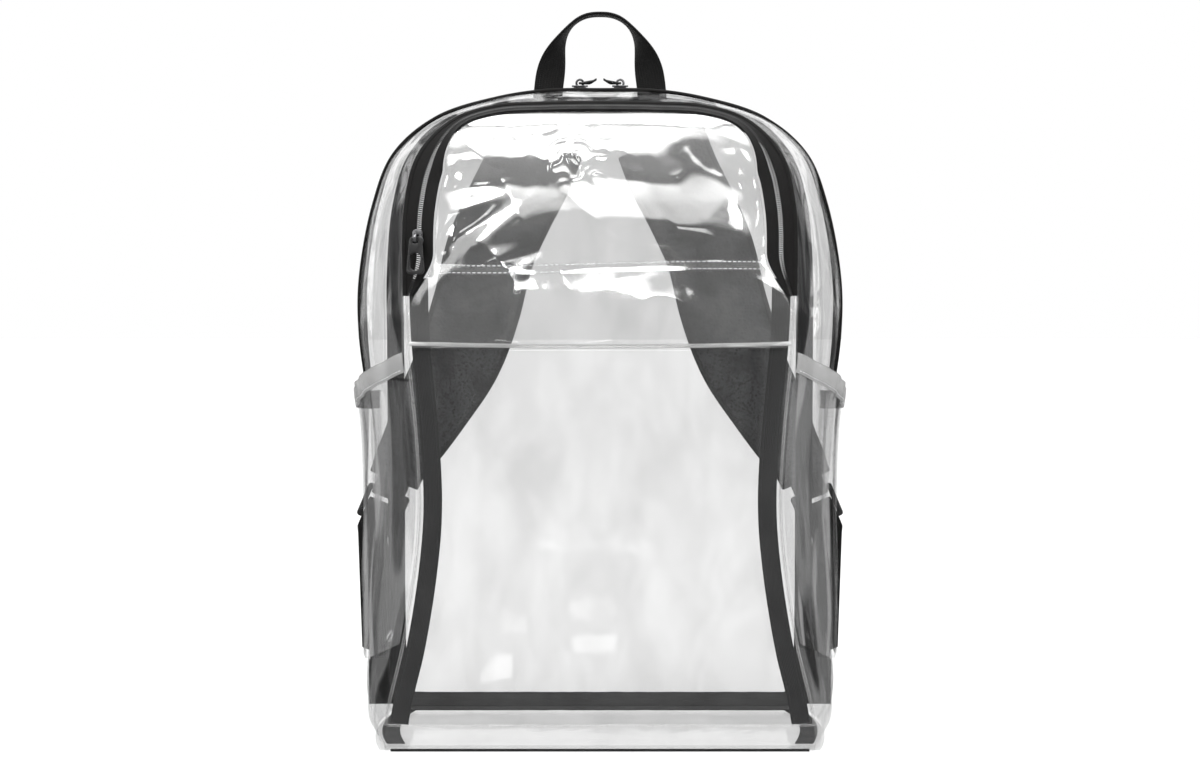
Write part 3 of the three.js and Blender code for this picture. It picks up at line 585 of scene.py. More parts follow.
def weave_material(name, colour, scale, sheen):
    """Woven tape or webbing: ribs along and threads across it, at real size, with a soft sheen. Its colour
    is painted darker in the grooves and lighter on the raised threads, as painted shade and painted
    highlight.
    """
    material, nodes, shader = node_material(name)
    split = nodes.add("SeparateXYZ", {"Vector": nodes.add("UVMap", uv_map="real_size").outputs["UV"]})
    along = nodes.times(split.outputs["X"], 2 * math.pi / (0.0011 * scale))
    across = nodes.times(split.outputs["Y"], 2 * math.pi / (0.0016 * scale))
    threads = nodes.math("SINE", nodes.plus(along, nodes.times(nodes.math("SINE", across), 1.2)))
    ribs = nodes.math("ABSOLUTE", nodes.math("SINE", nodes.times(across, 0.5)))
    height = nodes.plus(nodes.times(threads, 0.35), ribs)
    wear = nodes.noise(nodes.place(), 60, 4)
    # Painted shade and highlight: the colour follows the weave's height, darker in the grooves and lighter
    # on the thread tops, times a random tone from wear.
    shade = nodes.times(nodes.ramp(height, 0.0, 1.3, 0.55, 1.6), nodes.ramp(wear, 0.3, 0.7, 0.85, 1.2))
    inputs = {"Factor": 1.0, "A": (*colour, 1), "B": nodes.grey(shade)}
    nodes.feed(shader, {
        "Base Color": nodes.add("Mix", inputs, data_type="RGBA", blend_type="MULTIPLY").outputs["Result"],
        "Sheen Weight": sheen,
        "Sheen Roughness": 0.4,
        "Specular IOR Level": 0.15,
        "Roughness": nodes.ramp(wear, 0.3, 0.7, 0.5, 0.68),
        "Normal": nodes.bump(height, 0.7, 0.00025 * scale),
    })
    return material


def mesh_fabric_material(name, colour):
    """Open spacer mesh of the padded straps: small cells, with a painted pale highlight on their ribs and
    painted shade in their pores.
    """
    material, nodes, shader = node_material(name)
    place = nodes.place()
    cells = nodes.add("TexVoronoi", {"Vector": place, "Scale": 420}).outputs["Distance"]
    # Random lighter and darker patches, times painted shade in the pores and painted highlight on the ribs
    # between them.
    mottling = nodes.ramp(nodes.noise(place, 35, 3), 0.35, 0.65, 0.25, 1.3)
    shade = nodes.times(nodes.ramp(cells, 0.15, 0.6, 0.0, 1.0), mottling)
    nodes.feed(shader, {
        "Base Color": nodes.tint(shade, colour, 0.35, 2.2),
        "Sheen Weight": 0.1,
        "Sheen Roughness": 0.45,
        "Specular IOR Level": 0.3,
        "Roughness": 0.75,
        "Normal": nodes.bump(cells, 0.8, 0.0008),
    })
    return material


def moulded_material(name, colour, rough_low, rough_high, metallic=0.0):
    """Moulded plastic or plated metal with a fine grain and slightly polished patches."""
    material, nodes, shader = node_material(name)
    place = nodes.place()
    broad = nodes.noise(place, 90, 2)
    nodes.feed(shader, {
        "Base Color": nodes.tint(nodes.ramp(broad, 0.35, 0.65, 0, 1), colour, 0.8, 1.3),
        "Roughness": nodes.ramp(broad, 0.3, 0.7, rough_low, rough_high),
        "Metallic": metallic,
        "Normal": nodes.bump(nodes.noise(place, 900, 3), 0.25, 0.0002),
    })
    return material


FRONT_FILM = film_material("front_film", 0.1, 0.34, 0.10, 0.5, stretch=(1, 1, 0.5))
POCKET_FILM = film_material("pocket_film", 0.085, 0.95, 0.2, 0.6, cloud=(0.355, 0.43, 0.3))
SIDE_FILM = film_material("side_film", 0.03, 0.95, 0.3, 0.2, stretch=(1.3, 1.3, 0.1), streaks=0.34)
GUSSET_FILM = film_material("gusset_film", 0.03, 0.95, 0.3, 0.2, stretch=(1.1, 1.1, 0.12), streaks=0.08)
BASE_FILM = film_material("base_film", 0.05, 0.6, 0.2, 0.2)
HEM_FILM = film_material("hem_film", 0.4, 0.62, 0.15, 0.5, metallic=0.2)
WELD_FILM = film_material("weld_film", 0.12, 0.95, 0.15, 0.6)
# Partly painted highlight: the fold's film has a whitish haze so that its rolled edge reads as a bright
# line.
FOLD_FILM = film_material("fold_film", 0.5, 0.95, 0.1, 0.4, metallic=0.25)
BINDING_TAPE = weave_material("binding_tape", (0.024, 0.024, 0.0245), 0.7, 0.04)
# Painted light: the same binding tape nearly twice as light, for the band round the back of the base, which
# looks lighter seen through more film at a slant.
BINDING_TAPE_PAINTED_LIGHTER = weave_material("binding_tape_painted_lighter", (0.045, 0.045, 0.0455), 0.7, 0.04)
ZIP_TAPE = weave_material("zip_tape", (0.004, 0.0037, 0.0036), 0.6, 0.015)
WEBBING = weave_material("black_webbing", (0.0028, 0.0027, 0.0026), 1.3, 0.01)
THREAD = moulded_material("thread", (0.02, 0.02, 0.021), 0.55, 0.75)
CLEAR_THREAD = moulded_material("clear_thread", (0.62, 0.63, 0.64), 0.3, 0.5)
COIL = moulded_material("zip_coil", (0.006, 0.006, 0.006), 0.3, 0.45)
PADDING = mesh_fabric_material("strap_mesh", (0.026, 0.0265, 0.028))
METAL = moulded_material("slider_metal", (0.16, 0.16, 0.165), 0.2, 0.36, metallic=0.95)
MOULDED = moulded_material("black_moulding", (0.008, 0.008, 0.0083), 0.25, 0.4)


# Film panels

def film_sheet(name, points, out=(0, -1, 0)):
    return sheet(name + "_look", points, FILM_LOOK, out)


def between_sides(curve, z, u):
    """X and Y across a panel between a curve's two sides, and the distance to the nearer one."""
    edge = at_height(curve, z)
    x = edge[..., 0] * (1 - 2 * u)
    return x, edge[..., 1], np.abs(edge[..., 0]) - np.abs(x)


def seam_mask(*distances, reach):
    mask = 1.0
    for distance in distances:
        mask = mask * smooth(distance, 0.0, reach)
    return mask


def panel_grid(rows, columns):
    return np.meshgrid(np.linspace(0, 1, rows + 1), np.linspace(0, 1, columns + 1), indexing="ij")


def front_lower():
    v, u = panel_grid(110, 110)
    z = mix(BOOT_HEIGHT + GAP, POCKET_SEAM_HEIGHT, v)
    x, y, side = between_sides(FRONT, z, u)
    swell = FRONT_BULGE * (1 - (2 * u - 1) ** 2) * np.sin(np.pi * v)
    mask = seam_mask(side, z - BOOT_HEIGHT, POCKET_SEAM_HEIGHT - z, reach=0.03)
    waves = 1.1 * MM * noise(x / 0.085 + 3, z / 0.16, 1) + 0.5 * MM * noise(x / 0.03, z / 0.07, 2)
    corner = smooth(np.abs(x), 0.07, 0.13) * smooth(-z, -0.11, -0.03)
    crumple = 1.6 * MM * corner * creases(x / 0.03 + z / 0.05, z / 0.045, 5)
    turned_in = 1.1 * MM * (1 - np.clip(side / (4 * MM), 0, 1)) ** 2
    y = y - swell - mask * (waves + crumple) + turned_in
    return film_sheet("front_lower_panel", xyz(x, y, z))


def front_upper():
    v, u = panel_grid(60, 60)
    z = mix(POCKET_SEAM_HEIGHT + GAP, on_curve(FRONT, 0.5)[2] - 2 * FILM, v)
    x, y, side = between_sides(FRONT, z, u)
    mask = seam_mask(side, z - POCKET_SEAM_HEIGHT, reach=0.02)
    y = y + mask * 1.5 * MM * (noise(x / 0.07, z / 0.05, 11) + 0.4)
    return film_sheet("front_upper_panel", xyz(x, y, z))


def back_panel():
    v, u = panel_grid(120, 90)
    z = mix(OUTLINE_FOOT, HEIGHT - FILM, v)
    x, _, side = between_sides(BACK, z, u)
    mask = seam_mask(side, z, HEIGHT - z, reach=0.03)
    waves = 0.8 * MM * noise(x / 0.1, z / 0.13, 21) + 0.4 * MM * noise(x / 0.03, z / 0.05, 22)
    y = back_face(x, z) - mask * np.abs(waves)
    return film_sheet("back_panel", xyz(x, y, z), (0, 1, 0))


BASE_PROFILE = np.array([
    [FRONT_Y, BOOT_HEIGHT],
    [FRONT_Y, 12 * MM],
    [FRONT_Y + 4.5 * MM, 4 * MM],
    [FRONT_Y + 13 * MM, 0],
    [FRONT_Y * 0.4, 0],
    [BACK_Y * 0.2, 0],
    [BACK_Y * 0.7, 0],
    [BACK_Y - FILM - GAP, 0],
])


def base_panel():
    shares, u = panel_grid(90, 80)
    profile = resample(np.column_stack([np.zeros(len(BASE_PROFILE)), BASE_PROFILE]), 1 * MM)
    place = shares * (len(profile) - 1)
    index = np.arange(len(profile))
    y = np.interp(place, index, profile[:, 1])
    z = np.interp(place, index, profile[:, 2])
    across = np.clip((y - FRONT_Y) / DEPTH, 0, 1)
    flat_side = gusset(across, np.zeros_like(across))[..., 0]
    boot_side = at_height(FRONT, np.maximum(z, JUST_ABOVE_FOOT))[..., 0]
    side = np.where(z > 0, boot_side, flat_side)
    x = side * (1 - 2 * u)
    return film_sheet("base_panel", xyz(x, y, z), (0, -0.5, -1))


MAIN_ZIP_END = station_at(FRONT, MAIN_ZIP_END_HEIGHT)


def gusset_patch(name, share_from, share_to, reach, cells, folds, seed):
    """A patch of the gusset with long soft folds that run along it and fade at its seams."""
    t, q = panel_grid(*cells)
    station = mix(*reach, t)
    length = gusset_length(station)
    share = mix(share_from(station), share_to(station), q)
    flat = gusset(share, station)
    depth = share * length
    run = station * 1.25
    near = np.minimum(q, 1 - q) * length * (share_to(0.3) - share_from(0.3))
    mask = smooth(near, 0, 0.014) * smooth(flat[..., 2], 0.0, 0.03)
    long_folds = noise(depth / 0.028, run / 0.17, seed) + 0.5 * noise(depth / 0.013, run / 0.1, seed + 1)
    crease = creases(depth / 0.04, run / 0.12, seed + 2) + 0.6 * creases(depth / 0.022, run / 0.07, seed + 3)
    lift = folds * mask * (long_folds * 1.3 - crease * 0.8)
    points = raised(share, station, lift)
    return film_sheet(name, points, gusset_normal(share, station))


def front_edge_share(station):
    return (FILM + GAP) * 0.4 / gusset_length(station)


def back_edge_share(station):
    return 1 - (FILM + GAP) * 0.6 / gusset_length(station)


def zip_share(distance):
    return lambda station: MAIN_ZIP_LINE + distance / gusset_length(station)


def side_pocket_heights(share):
    mouth = mix(SIDE_POCKET_MOUTH_FRONT, SIDE_POCKET_MOUTH_BACK, np.sin(np.pi / 2 * share))
    floor = mix(SIDE_POCKET_FLOOR_FRONT, SIDE_POCKET_FLOOR_MIDDLE, np.sin(np.pi * 0.9 * share))
    return mouth, floor


def side_pocket_points(u, rise, extra):
    share = mix(0.02, 0.98, u)
    mouth, floor = side_pocket_heights(share)
    height = mix(floor, mouth, rise)
    station = station_at(FRONT, height)
    swell = np.sin(np.pi * u) ** 0.8 * np.sin(np.pi / 2 * np.minimum(1, rise / 0.45)) ** 0.7
    fullness = swell * (1 - 0.25 * rise ** 2)
    depth = share * 0.16
    mask = smooth(np.minimum(u, 1 - u), 0.0, 0.12) * smooth(rise, 0.0, 0.08)
    folds = noise(depth / 0.024 + height / 0.4, height / 0.2, 41)
    folds += 0.5 * noise(depth / 0.011, height / 0.14, 42)
    crease = creases(depth / 0.032 - height / 0.3, height / 0.16, 43)
    lift = FILM + GAP + extra + SIDE_POCKET_BULGE * fullness + mask * (2.6 * folds - 2.2 * crease) * MM
    return raised(share, station, lift), gusset_normal(share, station)


def side_pocket():
    u, rise = panel_grid(90, 110)
    points, out = side_pocket_points(u, rise, 0.0)
    return film_sheet("left_side_pocket", points, out)


def side_hem():
    u, v = panel_grid(90, 8)
    mouth, floor = side_pocket_heights(mix(0.02, 0.98, u))
    rise = 1 - v * HEM_HEIGHT / (mouth - floor)
    points, out = side_pocket_points(u, rise, 2 * GAP + TAPE + 0.3 * MM * np.sin(np.pi * v))
    return sheet("left_side_pocket_hem_look", points, TAPE, out)


def hem_stitches():
    u = np.linspace(0.01, 0.99, 120)
    mouth, floor = side_pocket_heights(mix(0.02, 0.98, u))
    rise = 1 - (HEM_HEIGHT - 2 * MM) / (mouth - floor)
    return join("left_hem_stitches", [stitches(*side_pocket_points(u, rise, 2 * GAP + TAPE + 0.1 * MM))])


def welt(name, points, radius, flatness=0.6):
    """A welded film edge along points, round enough to catch a line of light."""
    along = tangents(points)
    across = unit(np.cross(np.array([0.0, 1.0, 0.0]), along))
    up = unit(np.cross(along, across))
    angles = np.linspace(0, 2 * np.pi, 10, endpoint=False)
    ring = np.column_stack([np.cos(angles) * radius, np.sin(angles) * radius * flatness])
    return loft(name, points, across, up, np.broadcast_to(ring, (len(points), 10, 2)))


def level_welt(name, height, lift, radius, droop=0.0):
    reach = abs(at_height(FRONT, height)[0]) - 1.5 * MM
    x = np.linspace(-reach, reach, 160)
    z = height + droop * (1 - (x / reach) ** 2) + 0.4 * MM * noise(x / 0.03, x * 0, 91)
    y = np.full_like(x, FRONT_Y) - lift - 0.3 * MM * noise(x / 0.02, x * 0, 92)
    return welt(name, np.column_stack([x, y, z]), radius)


def front_seam_welt():
    ends = station_at(FRONT, [BOOT_HEIGHT, POCKET_ZIP_END_HEIGHT])
    points = on_curve(FRONT, np.linspace(*ends, 220))
    points[:, 1] -= 0.6 * MM
    return welt("left_front_seam_welt", points, 1.1 * MM)


# The front pocket and its zip

TOP_FRONT = on_curve(FRONT, 0.5)[2]


def pocket_inset(height):
    end = POCKET_ZIP_END_HEIGHT
    sides = POCKET_TAPE_WIDTH * smooth(height, end - 14 * MM, end + 30 * MM)
    return mix(sides, POCKET_TAPE_TOP_DROP, smooth(height, HEIGHT * 0.87, TOP_FRONT - 3 * MM))


def pocket_lift(height):
    sides = POCKET_TAPE_SIDE_LIFT * smooth(height, POCKET_SEAM_HEIGHT, POCKET_ZIP_END_HEIGHT + 40 * MM)
    return mix(sides, POCKET_TAPE_TOP_LIFT, smooth(height, HEIGHT * 0.84, TOP_FRONT - 3 * MM))


def pocket_tape(share, station, beyond=0.0):
    """The pocket zip's outer face: share 0 is its outer edge at the front seam, 1 its inner edge."""
    share, station = np.broadcast_arrays(np.asarray(share, float), np.asarray(station, float))
    edge = on_curve(FRONT, station)
    inset = pocket_inset(edge[..., 2]) * share + beyond
    point = edge + inward(FRONT, station) * inset[..., None]
    point[..., 1] -= FILM + GAP + pocket_lift(edge[..., 2]) * share
    return point


def pocket_tape_normal(station):
    along = change(lambda at: pocket_tape(0.5, at), station)
    across = pocket_tape(1.0, station) - pocket_tape(0.0, station)
    return unit(np.cross(across, along))


POCKET_ZIP_START = station_at(FRONT, POCKET_ZIP_END_HEIGHT)
POCKET_EDGE = pocket_tape(1.0, np.linspace(0, 1, CURVE_SAMPLES), FILM + 2 * GAP)
POCKET_FOOT = POCKET_SEAM_HEIGHT + 2 * MM
POCKET_TOP = POCKET_EDGE[CURVE_SAMPLES // 2, 2] - GAP

# Soft dents and swells of the pocket's front: x, z, half width and half height in millimetres, the
# turn in degrees, and the depth in millimetres, with dents below zero.
POCKET_DENTS = [
    (-86, 398, 26, 12, 10, -4.0),
    (-95, 366, 36, 9, 32, -4.5),
    (-72, 346, 30, 8, 20, 2.5),
    (14, 404, 30, 13, -8, -3.2),
    (70, 412, 34, 14, -24, -3.0),
    (100, 384, 14, 30, 8, -3.2),
    (-30, 430, 50, 9, 4, -2.0),
    (40, 372, 60, 10, -6, 2.2),
    (-86, 322, 18, 10, 24, -2.0),
]


def pocket_dents(x, z):
    total = np.zeros_like(x)
    for cx, cz, rx, rz, turn, depth in POCKET_DENTS:
        angle = math.radians(turn)
        dx, dz = x / MM - cx, z / MM - cz
        a = (dx * math.cos(angle) + dz * math.sin(angle)) / rx
        b = (dz * math.cos(angle) - dx * math.sin(angle)) / rz
        total += depth * MM * np.exp(-(a * a + b * b))
    crinkle = np.exp(-(((x / MM + 20) / 24) ** 2 + ((z / MM - 420) / 16) ** 2))
    total += 1.6 * MM * crinkle * (creases(x / 0.014, z / 0.011, 31) - 0.3)
    return total


def pocket_surface(x, z):
    """Places on the pocket's front: the panel itself and the seams that lie on it."""
    edge = at_height(POCKET_EDGE, z)
    rise = (z - POCKET_FOOT) / (POCKET_TOP - POCKET_FOOT)
    crown = (1 - (x / edge[..., 0]) ** 4) * np.sin(np.pi / 2 * np.clip(rise / 0.3, 0, 1)) ** 0.6
    mask = seam_mask(np.abs(edge[..., 0]) - np.abs(x), z - POCKET_SEAM_HEIGHT, POCKET_TOP - z, reach=0.014)
    waves = 0.9 * MM * noise(x / 0.05, z / 0.03, 32) + 0.8 * MM * creases(x / 0.07 + z / 0.1, z / 0.06, 33)
    y = edge[..., 1] - POCKET_BULGE * crown * (1 - rise ** 3) - mask * (pocket_dents(x, z) + waves)
    return xyz(x, y, z)


def front_pocket():
    v, u = panel_grid(150, 180)
    z = mix(POCKET_FOOT, POCKET_TOP, v)
    x, _, _ = between_sides(POCKET_EDGE, z, u)
    return film_sheet("front_pocket_panel", pocket_surface(x, z))


POCKET_SEAM_Z = 342 * MM  # the stitched seam across the pocket


def pocket_seam_line(x):
    return POCKET_SEAM_Z + 1.5 * MM * np.sin(x / 0.05)


def pocket_seam_band():
    t, v = panel_grid(200, 6)
    reach = np.abs(at_height(POCKET_EDGE, POCKET_SEAM_Z)[0]) - 2 * MM
    x = mix(-reach, reach, t)
    z = pocket_seam_line(x) + (v - 0.5) * 7 * MM
    points = pocket_surface(x, z) - np.array([0, 0.35 * MM, 0])
    points[..., 1] -= 0.25 * MM * np.sin(np.pi * v)
    return sheet("pocket_seam_band", points, 0.3 * MM, (0, -1, 0))


def pocket_seam_stitches():
    rows = []
    reach = np.abs(at_height(POCKET_EDGE, POCKET_SEAM_Z)[0]) - 4 * MM
    for offset in (-2.4, 2.4):
        x = np.linspace(-reach, reach, 260)
        z = pocket_seam_line(x) + offset * MM
        points = pocket_surface(x, z) - np.array([0, 0.6 * MM, 0])
        rows.append(stitches(points, np.broadcast_to((0.0, -1.0, 0.0), points.shape)))
    return join("pocket_seam_stitches", rows)


# Zips, tapes and stitches

def strip(name, surface, out, share_from, share_to, start, end, rows):
    """A tape on a surface(share, station)."""
    t, q = panel_grid(rows, 5)
    station = mix(start, end, t)
    share = mix(share_from(station), share_to(station), q)
    tape = sheet(name + "_look", surface(share, station), TAPE_LOOK, out(share, station))
    return dress(tape, ZIP_TAPE)


def line_on(surface, out, share_of, start, end, count, lift):
    station = np.linspace(start, end, count)
    share = share_of(station)
    normals = out(share, station)
    return surface(share, station) + normals * lift, normals


def constant(value):
    return lambda station: np.full_like(np.asarray(station, float), value)


def pocket_out(share, station):
    return pocket_tape_normal(station)


MAIN_START = MAIN_ZIP_END + 0.001
MAIN_ZIP = (gusset, gusset_normal)
MAIN_REACH = (MAIN_START, 1 - MAIN_START)
POCKET_ZIP = (pocket_tape, pocket_out)
POCKET_REACH = (POCKET_ZIP_START, 1 - POCKET_ZIP_START)


def coil(name, line, shares, reach):
    """Both rows of a coil zip's rounded wire loops, at their real pitch."""
    rows = [coil_side(*line_on(*line, share, *reach, 1200, 0.15 * MM)) for share in shares]
    dress(join(name + "_look", rows), COIL)


def build_zips():
    outer, inner = MAIN_TAPE_WIDTH / 2, COIL_WIDTH / 2 - 0.6 * MM
    strip("main_zip_tape_front", *MAIN_ZIP, zip_share(-outer), zip_share(-inner), *MAIN_REACH, 320)
    strip("main_zip_tape_rear", *MAIN_ZIP, zip_share(inner), zip_share(outer), *MAIN_REACH, 320)
    for name, distance in (("main_zip_rim_front", -outer), ("main_zip_rim_rear", outer)):
        path, _ = line_on(*MAIN_ZIP, zip_share(distance), *MAIN_REACH, 520, 0.6 * MM)
        dress(welt(name, path, 1.3 * MM, 0.8), ZIP_TAPE)
    coil("main_zip_coil", MAIN_ZIP, (zip_share(-1.1 * MM), zip_share(1.1 * MM)), MAIN_REACH)
    strip("pocket_zip_tape_outer", *POCKET_ZIP, constant(0.0), constant(0.42), *POCKET_REACH, 260)
    strip("pocket_zip_tape_inner", *POCKET_ZIP, constant(0.58), constant(1.0), *POCKET_REACH, 260)
    rim = on_curve(FRONT, np.linspace(*POCKET_REACH, 320))
    rim[:, 1] -= 0.4 * MM
    dress(welt("pocket_zip_rim", rim, 2.1 * MM, 0.9), ZIP_TAPE)
    coil("pocket_zip_coil", POCKET_ZIP, (constant(0.46), constant(0.54)), POCKET_REACH)


def seam_binding(name, curve, start, end, rows, in_sign):
    t, v = panel_grid(rows, 8)
    station = mix(start, end, t)
    inset = SEAM_INSET + v * BINDING_WIDTH
    points = on_curve(curve, station) + inward(curve, station) * inset[..., None]
    wave = 0.35 * MM * noise(t * rows / 9, v * 2, 51)
    points[..., 1] += in_sign * (FILM + GAP + wave + 0.3 * MM)
    return sheet(name, points, TAPE_LOOK, (0, -in_sign, 0))


def binding_stitches(name, curve, start, end, in_sign, count):
    rows = []
    for inset in (2.0 * MM, BINDING_WIDTH - 2.0 * MM):
        station = np.linspace(start, end, count)
        points = on_curve(curve, station) + inward(curve, station) * (SEAM_INSET + inset)
        points[..., 1] += in_sign * (FILM + GAP + 0.2 * MM)
        rows.append(stitches(points, np.broadcast_to((0.0, -in_sign, 0.0), points.shape)))
    return join(name, rows)


def back_base_binding():
    """Folded round the corner between the back panel and the base."""
    t, v = panel_grid(160, 16)
    side = abs(on_curve(BACK, 0.0)[0]) - SEAM_INSET - FILM
    x = mix(-side, side, t)
    run = (v - 0.5) * 2 * BINDING_WIDTH
    wave = 0.5 * MM * noise(t * 14, v * 3, 52)
    y = BACK_Y - FILM - GAP - 0.8 * MM - np.maximum(0, -run) - wave
    z = 2 * FILM + np.maximum(0, run) * 0.9 + 0.8 * MM + np.abs(wave)
    return sheet("back_base_binding_look", xyz(x, y, z), TAPE_LOOK, (0, 1, -1))


def base_side_binding():
    t, v = panel_grid(60, 6)
    share = mix(0.1, 0.965, t)
    edge = gusset(share, np.zeros_like(share))
    x = edge[..., 0] + SEAM_INSET + FILM + v * BINDING_WIDTH
    z = np.full_like(x, FILM + GAP + 0.8 * MM)
    points = xyz(x, np.broadcast_to(edge[..., 1], x.shape), z)
    return sheet("left_base_side_binding_look", points, TAPE_LOOK, (0, 0, 1))


# Haul loop, straps and their hardware

def haul_loop():
    angle = np.linspace(0, np.pi, 90)
    rise = HAUL_CROWN_HEIGHT - HAUL_THICKNESS / 2 - HAUL_FOOT_HEIGHT
    x = -HAUL_LEG_X * np.sign(np.cos(angle)) * np.abs(np.cos(angle)) ** 0.8
    z = HAUL_FOOT_HEIGHT + rise * np.sin(angle) ** 0.9
    y = np.full_like(x, back_face(0.0, HAUL_FOOT_HEIGHT) + GAP + HAUL_THICKNESS / 2)
    points = resample(np.column_stack([x, y, z]), 2 * MM)
    along = tangents(points)
    depth = np.array([0.0, 1.0, 0.0])
    level = unit(np.cross(depth, along))
    twist = smooth(points[:, 2], HEIGHT + 4 * MM, HAUL_CROWN_HEIGHT - 6 * MM) * np.pi / 2
    across = level * np.cos(twist)[:, None] + depth * np.sin(twist)[:, None]
    return ribbon("haul_loop_look", points, across, HAUL_WIDTH, HAUL_THICKNESS)


STRAP_TOP = STRAP_LINE[0]
STRAP_BASE = back_face(STRAP_TOP[0] * HALF, STRAP_TOP[1] * HEIGHT) + GAP + STRAP_THICKNESS / 2
STRAP_POINTS = np.column_stack([
    STRAP_LINE[:, 0] * HALF,
    STRAP_BASE + STRAP_LINE[:, 2] * STRAP_ARCH,
    STRAP_LINE[:, 1] * HEIGHT,
])


def strap_frame(share):
    origin = spline(STRAP_POINTS, share)
    along = unit(change(lambda at: spline(STRAP_POINTS, at), share, 1e-3))
    across = unit(np.cross(np.array([0.0, 1.0, 0.0]), along))
    up = unit(np.cross(along, across))
    return origin, across, up, along


def strap_width(share):
    return mix(STRAP_WIDTH, STRAP_END_WIDTH, smooth(share, 0.45, 1))


def padded_ring(width, thickness, count=28):
    """A pad's section: full in the middle, pinched at the bound edges."""
    angles = np.linspace(0, 2 * np.pi, count, endpoint=False)
    a = np.sign(np.cos(angles)) * np.abs(np.cos(angles)) ** 0.55 * width / 2
    crown = (1 - np.clip(np.abs(a) / (width / 2), 0, 1) ** 3.2) * 0.78 + 0.22
    b = np.sign(np.sin(angles)) * np.abs(np.sin(angles)) ** 0.7 * thickness / 2 * crown
    return np.stack([a, b], axis=-1)


STRAP_CHANNELS = 9  # stitched grooves across the pad


def shoulder_strap():
    share = np.linspace(0, 1, 150)
    origin, across, up, _ = strap_frame(share)
    rings = []
    for s in share:
        channel = 1 - 0.10 * math.exp(-(((s * STRAP_CHANNELS) % 1.0 - 0.5) / 0.07) ** 2)
        ends = 0.45 + 0.55 * float(smooth(min(s, 1 - s), 0.0, 0.03))
        rings.append(padded_ring(strap_width(s) - 1.2 * MM, STRAP_THICKNESS * channel * ends))
    return loft("left_shoulder_strap_look", origin, across, up, np.array(rings))


def strap_edge_binding():
    """The folded tape round the pad's two long edges."""
    share = np.linspace(0.004, 0.996, 160)
    origin, across, up, _ = strap_frame(share)
    objects = []
    for sign in (-1, 1):
        centre = origin + across * (sign * (strap_width(share) / 2 - 2.6 * MM))[:, None]
        ring = stadium(5.2 * MM, 4.2 * MM)
        objects.append(loft("edge", centre, across, up, np.broadcast_to(ring, (len(share), *ring.shape))))
    return join("left_strap_edge_binding", objects)


END_ORIGIN, END_ACROSS, END_UP, END_ALONG = strap_frame(1.0)
LOCK_ACROSS = -END_ACROSS
LOCK_OFF = np.cross(LOCK_ACROSS, END_ALONG)
LOOP_DROP = 10 * MM
LOCK_ORIGIN = END_ORIGIN + END_ALONG * LOOP_DROP
LEG_OFFSET = math.hypot(LOCK_BAR, LOCK_THICKNESS) / 2 + GAP + WEBBING_THICKNESS / 2
LOCK_HEIGHT = 3 * LOCK_BAR + LOCK_UPPER_SLOT + LOCK_LOWER_SLOT
LOCK_WIDTH = WEBBING_WIDTH + 2 * (LOCK_CHEEK + 2 * GAP)


def in_lock_frame(pairs):
    pairs = np.asarray(pairs, float)
    return LOCK_ORIGIN + pairs[:, :1] * END_ALONG + pairs[:, 1:] * LOCK_OFF


def half_turn(middle, sign, steps=14):
    angle = np.linspace(0, np.pi, steps + 1)
    return np.column_stack([middle - sign * LEG_OFFSET * np.sin(angle), -LEG_OFFSET * np.cos(angle)])


def strap_end_loop():
    start = -LOOP_DROP + GAP
    pairs = np.vstack([[start, -LEG_OFFSET], half_turn(0, -1), [start, LEG_OFFSET]])
    points = resample(in_lock_frame(pairs), 1.2 * MM)
    return ribbon("left_strap_end_loop_look", points, END_ACROSS, WEBBING_WIDTH, WEBBING_THICKNESS)


ANCHOR_X = -HALF * 0.905
ANCHOR_FLARE = 12 * MM
ANCHOR_FACE = back_face(ANCHOR_X, ANCHOR_HEIGHT) + GAP + ANCHOR_THICKNESS


def lower_webbing():
    anchor = np.array([ANCHOR_X, ANCHOR_FACE + GAP + WEBBING_THICKNESS / 2, ANCHOR_HEIGHT - 14 * MM])
    reach = LOCK_HEIGHT + 6 * MM
    near, far = in_lock_frame([[reach, -LEG_OFFSET], [reach, LEG_OFFSET]])
    bend = mix(anchor, near, np.array([0.3, 0.42, 0.35]))
    rising = spline(np.array([anchor, bend, near]), np.linspace(0, 1, 40))[:-1]
    tail = far + np.array([0.5, 0.6, 0.0]) * MM * np.arange(1, 6)[:, None]
    tail[:, 2] -= TAIL_LENGTH * np.arange(1, 6) / 5
    turn = in_lock_frame(half_turn(LOCK_BAR + LOCK_UPPER_SLOT, 1))
    points = resample(np.vstack([rising, near, turn, far, tail]), 1.5 * MM)
    return ribbon("left_lower_webbing_look", points, END_ACROSS, WEBBING_WIDTH, WEBBING_THICKNESS)


def plate(name, outline, holes, thickness, bevel, place):
    """A flat plate with round edges. outline and holes are loops of (x, y), and place is a matrix."""
    curve = bpy.data.curves.new(name, "CURVE")
    curve.dimensions = "2D"
    curve.fill_mode = "BOTH"
    curve.extrude = thickness / 2 - bevel
    curve.bevel_depth = bevel
    curve.bevel_resolution = 3
    curve.offset = -bevel
    for loop in (outline, *(hole[::-1] for hole in holes)):
        line = curve.splines.new("POLY")
        line.points.add(len(loop) - 1)
        line.use_cyclic_u = True
        for point, (x, y) in zip(line.points, loop):
            point.co = (x, y, 0, 1)
    temporary = add_object(name + "_curve", curve)
    evaluated = temporary.evaluated_get(bpy.context.evaluated_depsgraph_get())
    mesh = bpy.data.meshes.new_from_object(evaluated)
    bpy.data.objects.remove(temporary)
    mesh.name = name
    mesh.transform(place)
    obj = add_object(name, mesh)
    bm = bmesh.new()
    bm.from_mesh(mesh)
    bmesh.ops.remove_doubles(bm, verts=bm.verts, dist=1e-6)
    bm.to_mesh(mesh)
    bm.free()
    return finish_shading(obj, 40)


